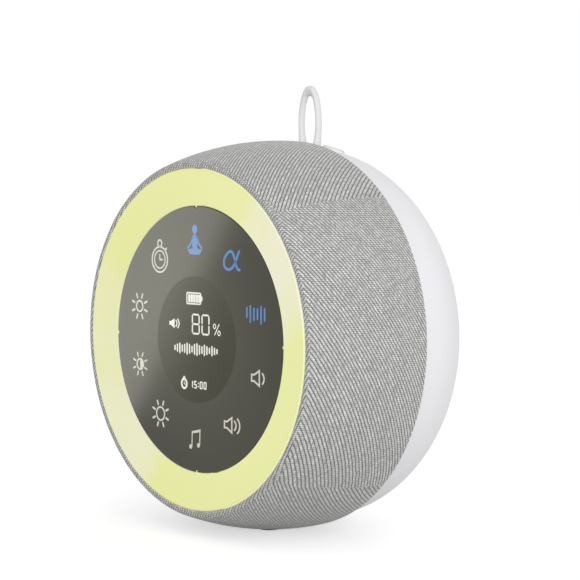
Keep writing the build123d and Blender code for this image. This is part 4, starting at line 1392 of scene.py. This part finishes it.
@dataclass
class ClothSide:
    """Twill sleeve over the bulged side, turned in behind the front rim and over the rear edge."""

    shop: Workshop
    crest_radius: float = 55.0
    crest_depth: float = 30.3
    side_arc_radius: float = 85.42
    front: float = -1.65
    rear: float = 34.7
    hem_radius: float = 47.0
    hem_rear: float = 2.55
    fold_radius: float = 53.25
    thickness: float = 0.6
    front_rounding: float = 1.0
    hem_rounding: float = 0.5
    rear_rounding: float = 0.5
    base_height: float = 0.3
    segments: int = 480
    outer_rows: int = 56
    inner_rows: int = 26
    flat_width: float = 345.0
    flat_length: float = 45.5
    foot_gap: float = 0.12
    foot_rounding: float = 3.0

    def side(self, depth: float, inset: float = 0.0) -> float:
        """Radius of the bulged side at a depth, moved inwards by an inset."""
        rise = math.sqrt((self.side_arc_radius - inset) ** 2 - (depth - self.crest_depth) ** 2)
        return self.crest_radius - self.side_arc_radius + rise

    def outline(self) -> list[Point3]:
        """Closed outline of the cloth's two faces.

        Returns:
            Its points as (depth, radius, lowest height).
        """
        r1, r2, r3, t = self.front_rounding, self.hem_rounding, self.rear_rounding, self.thickness
        front, rear, hem = self.front, self.rear, self.hem_radius
        rim, edge = self.side(front + 0.4), self.side(rear - r3)
        outer = [(self.hem_rear, hem), (self.hem_rear * 0.5, hem)]
        outer += arc((front + r2, hem + r2), r2, 270, 180, 6)
        outer += [(front, hem + 0.8)]
        outer += arc((front + r1, rim - r1 + 0.02), r1, 180, 112, 6)
        outer += [(d, self.side(d)) for d in np.linspace(front + r1, rear - r3, self.outer_rows)]
        outer += arc((rear - r3, edge - r3), r3, 75, 0, 6)
        outer += [(rear, (edge - r3 + self.fold_radius) / 2), (rear, self.fold_radius)]
        inner = [(rear - t, self.fold_radius)]
        inner += [(d, self.side(d, t)) for d in np.linspace(rear - t, front + t + 0.5, self.inner_rows)]
        inner += [(front + t, self.side(front + t, t) - 0.4), (front + t, hem + t + 0.2)]
        inner += [(front + t + 0.2, hem + t), (self.hem_rear, hem + t)]
        return [(d, r, self.base_height) for d, r in outer] + [(d, r, self.base_height + t) for d, r in inner]

    def lay_weave(self, mesh: Mesh) -> None:
        """Maps millimetres across the warp and across the weft onto the cloth.

        The top and bottom, the two sides and the front rim each carry the weave in their own
        direction, so it meets in a line at the corners and in a herringbone along the rim.

        Args:
            mesh: the cloth's mesh.
        """

        def read(items: Any, name: str, width: int = 1, kind: type = float) -> np.ndarray:
            """Reads one property of all items.

            Args:
                items: vertices, loops or polygons.
                name: the property.
                width: numbers that each item holds.
                kind: type of the numbers.

            Returns:
                A row of values for each item.
            """
            values = np.empty(len(items) * width, kind)
            items.foreach_get(name, values)
            return values.reshape(-1, width).squeeze()

        coords = read(mesh.vertices, "co", 3)[read(mesh.loops, "vertex_index", kind=int)] / MM
        coords[:, 2] -= AXIS_Z
        normals = np.abs(read(mesh.polygons, "normal", 3))
        totals = read(mesh.polygons, "loop_total", kind=int)
        middle = np.add.reduceat(coords, np.concatenate([[0], np.cumsum(totals)[:-1]])) / totals[:, None]
        front = normals[:, 1] > np.maximum(normals[:, 0], normals[:, 2])
        upright = np.abs(middle[:, 0]) > np.abs(middle[:, 2])
        front, upright = np.repeat(front, totals), np.repeat(upright, totals)
        x, y, z = coords.T
        warp = np.where(upright & ~front, y, x)
        weft = np.select([front, upright], [-z, z], y)
        layer = mesh.uv_layers.new(name="weave")
        layer.data.foreach_set("uv", np.stack([warp, weft], axis=1).ravel().astype(np.float32))

    def build(self) -> None:
        mesh = self.shop.turn(self.outline(), TWILL, self.segments)
        low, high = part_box("base_foot")
        room = Vector((self.foot_gap, self.foot_gap, self.foot_rounding)) * MM
        cut = combine(mesh, rounded_block(low - room, high + room, (2, self.foot_rounding)), Join.CUT)
        self.lay_weave(cut)
        cut.polygons.foreach_set("use_smooth", [True] * len(cut.polygons))
        sleeve = new_piece("cloth_sleeve", cut, "fabric_sleeve")


@dataclass
class RearHousing:
    """Moulded rear shell with its screws, foot and charging socket."""

    shop: Workshop
    thread_pitch: float = 0.9
    contact_length: float = 3.6
    contact_spacing: float = 0.5
    contact_thickness: float = 0.05
    contact_setback: float = 0.4
    contact_proud: float = 0.2

    def build(self) -> None:
        """Dresses the shell and foot, cuts the screws and lays the socket's contacts."""
        self.shop.dress(SHELL_ABS, "rear_shell")
        self.shop.dress(FOOT_RUBBER, "base_foot")
        self.shop.dress(TINNED_SHELL, "usb_socket")
        self.shop.dress(CHIP_EPOXY, "usb_tongue")
        self.shop.fasten("shell_screws", self.thread_pitch)
        low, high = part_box("usb_tongue")
        back = high.y - (self.contact_length / 2 + self.contact_setback) * MM
        proud = self.contact_thickness * self.contact_proud * MM
        mesh = grow(
            self.shop.contacts,
            raw_mesh([((low.x + high.x) / 2, back, z) for z in (low.z - proud, high.z + proud)]),
            self.shop.finish(GOLD_FLASH),
            Spacing=self.contact_spacing * MM,
            Length=self.contact_length * MM,
            Thickness=self.contact_thickness * MM,
        )
        new_piece("socket_contacts", mesh)


@dataclass
class TopControls:
    """Hanging loop and the two round buttons on the shell's top. Heights are above the drum's axis."""

    shop: Workshop
    setback: float = 41.8
    wire_radius: float = 0.925
    crown_drop: float = 1.55
    root_gain: float = 0.3
    root_reach: float = 5.0
    root_depth: float = 0.5
    loop_half_width: float = 3.65
    loop_half_height: float = 10.03
    loop_middle: float = 60.2
    loop_steps: int = 48
    shell_top: float = 53.1
    pad_height: float = 48.6
    foot_base: float = 45.0
    foot_width: float = 9.0
    foot_length: float = 5.0
    foot_rounding: float = 0.8
    button_spacing: float = 20.0
    button_radius: float = 3.25
    button_rounding: float = 0.9
    button_fall: float = 0.2
    button_crest: float = 54.0
    button_facets: int = 64
    flange_radius: float = 4.1
    flange_base: float = 47.6
    flange_top: float = 48.4

    def loop(self) -> None:
        """Sweeps the silicone loop and joins it to the foot that holds it inside the shell."""
        lean = math.degrees(math.asin((self.loop_middle - self.shell_top) / self.loop_half_height))
        tall = self.loop_half_height / self.loop_half_width
        line = arc((0, self.loop_middle), self.loop_half_width, -lean, 180 + lean, self.loop_steps, tall)
        root = self.pad_height - self.root_depth
        line = [(line[0][0], root), *line, (line[-1][0], root)]
        # The legs thicken towards their roots
        near = [min(max(1 - (z - self.shell_top) / self.root_reach, 0.0), 1.0) for _, z in line]
        seed = raw_mesh(
            [at_depth(x, self.setback, z) for x, z in line],
            [(i, i + 1) for i in range(len(line) - 1)],
            swell=[1 + self.root_gain * share for share in near],
        )
        finish = self.shop.finish(SILICONE)
        tube = grow(
            self.shop.wire, seed, finish, Wire_Radius=self.wire_radius * MM, Crown_Drop=self.crown_drop * MM
        )
        half = Vector((self.foot_width, self.foot_length, 0)) * (MM / 2)
        low, high = (at_depth(0, self.setback, height) for height in (self.foot_base, self.pad_height))
        foot = rounded_block(low - half, high + half, (2, self.foot_rounding), finish=finish)
        mesh = combine(close_up(tube), foot, Join.UNITE)
        new_piece("loop_of_silicone", mesh, "hanging_loop")

    def button(self, side: int, body: Body) -> None:
        """Builds a button whose top follows the shell's curve.

        Args:
            side: -1 for the left button, 1 for the right one.
            body: the body it moves with.
        """
        middle = side * self.button_spacing / 2
        rows = [(self.flange_radius, self.flange_base, False), (self.flange_radius, self.flange_top, False)]
        rows.append((self.button_radius, self.flange_top, False))
        for i in range(8):
            turn = math.pi / 2 * i / 7
            radius = self.button_radius - self.button_rounding * (1 - math.cos(turn))
            rows.append((radius, self.button_rounding * (math.sin(turn) - 1), True))
        rows += [(radius, 0.0, True) for radius in (1.8, 1.2, 0.5)]
        rings = []
        for radius, rise, crowned in rows:
            ring = []
            for angle in (math.tau * i / self.button_facets for i in range(self.button_facets)):
                x, back = middle + radius * math.cos(angle), radius * math.sin(angle)
                crest = math.sqrt(self.button_crest**2 - x**2) - self.button_fall * back if crowned else 0.0
                ring.append(at_depth(x, self.setback + back, crest + rise))
            rings.append(ring)
        cage = bmesh.new()
        add_skin(cage, rings)
        mesh = end_cage(cage, self.shop.finish(SILICONE))
        crown_base = (AXIS_Z + self.flange_top + 1) * MM
        for face in mesh.polygons:
            face.use_smooth = abs(face.normal.z) > 0.05 and face.center.z > crown_base
        new_piece(body.value + "_cap", mesh, body.value, body)

    def build(self) -> None:
        """Builds the loop and the two buttons."""
        self.loop()
        self.button(-1, Body.LEFT_BUTTON)
        self.button(1, Body.RIGHT_BUTTON)


@dataclass
class Loudspeaker:
    """Speaker driver inside the drum, with its rubber roll, pleated spider and foam gasket."""

    shop: Workshop
    cone_radius: float = 18.2
    roll_outer: float = 22.4
    lip_outer: float = 23.4
    lip_bevel: float = 0.12
    flange_front: float = 14.205
    rubber: float = 0.4
    roll_rise: float = 1.5
    gasket_radii: Point2 = (23.8, 27.4)
    gasket_depths: Point2 = (15.01, 15.49)
    gasket_softness: float = 0.15
    gasket_hole: float = 1.15
    spider_radii: Point2 = (8.08, 16.55)
    spider_depths: Point2 = (24.215, 24.595)
    spider_rims: Point2 = (0.6, 1.3)
    spider_rows: int = 90
    spider_cloth: float = 0.13
    pleats: float = 4.5
    facets: int = 144
    thread_pitch: float = 0.7

    def through(self, start: Point2, middle: Point2, end: Point2, steps: int = 16) -> list[Point2]:
        """Points on the circle through three points.

        Args:
            start: first point.
            middle: point between.
            end: last point.
            steps: number of chords.

        Returns:
            The points.
        """
        (ax, ay), (bx, by), (cx, cy) = start, middle, end
        d = 2 * (ax * (by - cy) + bx * (cy - ay) + cx * (ay - by))
        ux = ((ax**2 + ay**2) * (by - cy) + (bx**2 + by**2) * (cy - ay) + (cx**2 + cy**2) * (ay - by)) / d
        uy = ((ax**2 + ay**2) * (cx - bx) + (bx**2 + by**2) * (ax - cx) + (cx**2 + cy**2) * (bx - ax)) / d
        first, between, last = (math.degrees(math.atan2(y - uy, x - ux)) for x, y in (start, middle, end))
        whole = (last - first) % 360
        sweep = whole if (between - first) % 360 < whole else whole - 360
        return arc((ux, uy), math.hypot(ax - ux, ay - uy), first, first + sweep, steps)

    def surround(self) -> None:
        """Turns the half roll of rubber between the cone and the basket's rim."""
        front, rubber, bevel = self.flange_front, self.rubber, self.lip_bevel
        lip = front - rubber
        crown, middle = lip - self.roll_rise, (self.cone_radius + self.roll_outer) / 2
        outline = self.through((front, self.cone_radius), (crown, middle), (lip, self.roll_outer))
        outline += [(lip, self.lip_outer - bevel), (lip + bevel, self.lip_outer), (front, self.lip_outer)]
        ends = (front, self.roll_outer - rubber), (front + rubber, self.cone_radius)
        outline += self.through(ends[0], (crown + rubber, middle), ends[1])
        mesh = self.shop.turn(outline, SURROUND_RUBBER, self.facets)
        new_piece("rubber_roll", mesh, "speaker_surround")

    def spider(self) -> None:
        """Turns the pleated cloth disc that centres the coil."""
        (inner, outer), (front, back) = self.spider_radii, self.spider_depths
        half = self.spider_cloth / 2
        swing = (back - front) / 2 - half
        start, end = inner + self.spider_rims[0], outer - self.spider_rims[1]
        rows: list[Point2] = []
        for radius in np.linspace(inner, outer, self.spider_rows):
            share = min(max((radius - start) / (end - start), 0.0), 1.0)
            depth = (front + back) / 2 - swing * math.cos(math.tau * self.pleats * share)
            rows.append((depth, float(radius)))
        outline = [(d - half, r) for d, r in rows] + [(d + half, r) for d, r in rows[::-1]]
        mesh = self.shop.turn(outline, SPIDER_COTTON, 120)
        disc = new_piece("pleated_spider", mesh, "speaker_spider")
        pairs = zip(rows, rows[1:])
        flat = sum(math.pi * (a[1] + b[1]) * math.hypot(a[0] - b[0], a[1] - b[1]) for a, b in pairs)

    def gasket(self) -> None:
        """Turns the foam gasket and cuts it round the speaker's screws."""
        (inner, outer), (front, back), soft = self.gasket_radii, self.gasket_depths, self.gasket_softness
        outline = [
            (front, inner + soft), (front, outer - soft), (front + soft, outer), (back - soft, outer),
            (back, outer - soft), (back, inner + soft), (back - soft, inner), (front + soft, inner),
        ]
        mesh = self.shop.turn(outline, FOAM, self.facets)
        for low, high in islands("speaker_screws"):
            place = Vector(((low.x + high.x) / 2, (PANEL_Y + front) * MM, (low.z + high.z) / 2))
            turned = Matrix.Translation(place) @ Matrix.Rotation(math.pi / 2, 4, "X")
            cage, hole = bmesh.new(), self.gasket_hole * MM
            bmesh.ops.create_cone(
                cage, cap_ends=True, segments=24, radius1=hole, radius2=hole, depth=4 * MM, matrix=turned
            )
            mesh = combine(mesh, end_cage(cage), Join.CUT)
        new_piece("foam_gasket", mesh, "speaker_gasket")

    def build(self) -> None:
        """Builds the soft pieces and dresses the others."""
        self.surround()
        self.spider()
        self.gasket()
        self.shop.dress(PRESSED_STEEL, "speaker_basket", "speaker_top_plate", "speaker_yoke")
        self.shop.dress(FERRITE, "speaker_magnet")
        self.shop.dress(COPPER_WIRE, "voice_coil")
        self.shop.dress(CONE_PAPER, "speaker_cone", "speaker_dust_cap")
        self.shop.dress(INNER_GREY, "speaker_baffle", "speaker_box")
        self.shop.fasten("speaker_screws", self.thread_pitch, heads_forward=True)
        self.shop.fasten("baffle_screws", self.thread_pitch)


@dataclass
class Electronics:
    """Boards, lamps, display, battery and frames inside the drum."""

    shop: Workshop
    lamp_share: float = 0.98
    pad_rounding: float = 1.2
    pad_softness: float = 0.18
    thread_pitch: float = 0.7

    def lamp_row(self, node: str, around: bool = False) -> None:
        """Replaces a node of plain lamp blocks with lamps that have a lens.

        Args:
            node: the CAD node.
            around: whether each lamp is turned towards the drum's axis.
        """
        boxes = islands(node)
        middles = [(low + high) / 2 for low, high in boxes]
        seats = [Vector((middle.x, high.y, middle.z)) for middle, (_, high) in zip(middles, boxes)]
        turns = [math.atan2(m.x, m.z - AXIS_Z * MM) if around else 0.0 for m in middles]
        low, high = max(boxes, key=lambda box: box[1].z)
        size = high - low
        mesh = grow(
            self.shop.lamps,
            raw_mesh(seats, turn=turns),
            self.shop.finish(LAMP_PACKAGE),
            Width=size.x * self.lamp_share,
            Length=size.z * self.lamp_share,
            Height=size.y,
        )
        new_piece(node + "_lensed", mesh, node)

    def display_pad(self) -> None:
        """Builds the thin foam pad behind the display, with rounded corners and soft edges."""
        foam = self.shop.finish(FOAM)
        mesh = rounded_block(*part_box("display_cushion"), (1, self.pad_rounding), self.pad_softness, foam)
        new_piece("display_foam_pad", mesh, "display_cushion")

    def build(self) -> None:
        """Dresses the boards and frames and builds the lamps."""
        dress = self.shop.dress
        dress(INNER_WHITE, "icon_light_mask", "front_frame", "ribbon_connectors")
        dress(INNER_GREY, "grille_frame", "battery_cradle")
        dress(DISPLAY_GLASS, "display_module")
        dress(LAMINATE, "touch_board", "ring_board", "main_board", "control_board")
        dress(CHIP_EPOXY, "board_components", "switch_housings")
        dress(CHIP_EPOXY, "left_switch_plunger", "right_switch_plunger")
        dress(BATTERY_FILM, "battery_pack")
        dress(RIBBON_FILM, "display_ribbon")
        dress(ZINC_STEEL, "control_screws")
        self.display_pad()
        self.lamp_row("ring_leds", around=True)
        self.lamp_row("icon_leds")
        self.shop.fasten("front_screws", self.thread_pitch)
        self.shop.fasten("board_screws", self.thread_pitch)


@dataclass
class Studio:
    """Camera, soft lights, world and floor."""

    azimuth: float = 49.088
    elevation: float = 2.900
    distance: float = 498.93
    lens: float = 112.9
    sensor: float = 36.0
    image_size: float = 580.0
    panel_pixel: Point2 = (195.88, 339.50)
    ambient: float = 0.67
    floor_reach: float = 6.0
    floor_colour: str = "DADADA"
    floor_glow: float = 0.56
    card_colour: Point3 = (1.0, 0.985, 0.87)

    def camera(self) -> None:
        """Places the camera on the panel's left front."""
        a, e = math.radians(self.azimuth), math.radians(self.elevation)
        back = Vector((math.sin(a) * math.cos(e), -math.cos(a) * math.cos(e), math.sin(e)))
        right = Vector((math.cos(a), math.sin(a), 0))
        up = back.cross(right)
        focal = self.lens / self.sensor * self.image_size
        ox = (self.panel_pixel[0] - self.image_size / 2) / focal
        oy = -(self.panel_pixel[1] - self.image_size / 2) / focal
        place = Vector((0, PANEL_Y, AXIS_Z)) + back * self.distance - (right * ox + up * oy) * self.distance
        data = bpy.data.cameras.new("camera")
        data.lens, data.sensor_width, data.sensor_fit = self.lens, self.sensor, "HORIZONTAL"
        data.clip_start, data.clip_end = 0.01, 50
        camera = place_in_scene("camera", data)
        camera.matrix_world = Matrix.Translation(place * MM) @ Matrix((right, up, back)).transposed().to_4x4()
        bpy.context.scene.camera = camera

    def seen(self, node: Callable[..., Node]) -> Node:
        """Value that is 1 on rays from the camera, from gloss and through glass.

        Args:
            node: function that adds a node to a material or the world.

        Returns:
            The value's node.
        """
        path = node("LightPath").outputs
        first = node("Math", path["Is Camera Ray"], path["Is Glossy Ray"], operation="MAXIMUM")
        return node("Math", first, path["Is Transmission Ray"], operation="MAXIMUM")

    def world(self) -> None:
        """Even soft light all round, white where it is seen."""
        world = bpy.data.worlds.new("studio")
        bpy.context.scene.world = world
        world.use_nodes = True
        world.node_tree.nodes.clear()
        node = partial(add_node, world.node_tree)
        level = node("MapRange", self.seen(node), To_Min=self.ambient, To_Max=1.0)
        node("OutputWorld", node("Background", (1, 1, 1, 1), level))

    def floor(self) -> None:
        """Plain white floor that keeps a soft shadow."""
        reach = self.floor_reach
        corners = [(-reach, -reach, 0), (reach, -reach, 0), (reach, reach, 0), (-reach, reach, 0)]
        mesh = raw_mesh(corners, faces=[(0, 1, 2, 3)])
        material, node = start_material("white_floor")
        end_material(
            material,
            Base_Color=linear(self.floor_colour),
            Roughness=0.9,
            Specular_IOR_Level=0.0,
            Emission_Color=(1, 1, 1, 1),
            Emission_Strength=node("Math", self.seen(node), self.floor_glow, operation="MULTIPLY"),
        )
        mesh.materials.append(material)
        place_in_scene("floor", mesh)

    def lamp(
        self, name: str, place: Point3, target: Point3, size: Point2, power: float, roll: float = 0.0
    ) -> Object:
        """Adds a soft rectangular lamp.

        Args:
            name: the lamp's name.
            place: its middle, in metres.
            target: the point that it faces, in metres.
            size: its width and height, in metres.
            power: in watts.
            roll: turn about its own axis, in degrees.

        Returns:
            The lamp.
        """
        data = bpy.data.lights.new(name, "AREA")
        data.shape, data.size, data.size_y, data.energy = "RECTANGLE", size[0], size[1], power
        lamp = place_in_scene(name, data)
        lamp.visible_camera = False
        way = (Vector(target) - Vector(place)).to_track_quat("-Z", "Y").to_matrix().to_4x4()
        lamp.matrix_world = Matrix.Translation(place) @ way @ Matrix.Rotation(math.radians(roll), 4, "Z")
        return lamp

    def build(self) -> None:
        """Sets the studio up."""
        self.camera()
        self.world()
        self.floor()
        self.lamp("key", (1.2, -0.6, 0.25), (0.0, 0.0, 0.05), (0.7, 0.42), 8.7)
        # A warm card that shows in reflections alone
        place, target = (-0.2016, -0.1498, 0.0630), (0.0, -0.0313, 0.0543)
        card = self.lamp("card", place, target, (0.060, 0.105), 0.069, -26.0)
        card.visible_diffuse = False
        card.data.color = self.card_colour
        bpy.context.scene.view_settings.view_transform = "Standard"
        log.info("studio: camera, world, floor and lamps")


def main() -> None:
    """Builds the studio and the machine's sub-assemblies in order."""
    logging.basicConfig(level=logging.INFO, format="%(name)s: %(message)s")
    Studio().build()
    shop = Workshop()
    for kind in (TouchFace, ClothSide, RearHousing, TopControls, Loudspeaker, Electronics):
        kind(shop).build()
        log.info("%s done", kind.__name__)


if __name__ == "__main__":
    main()
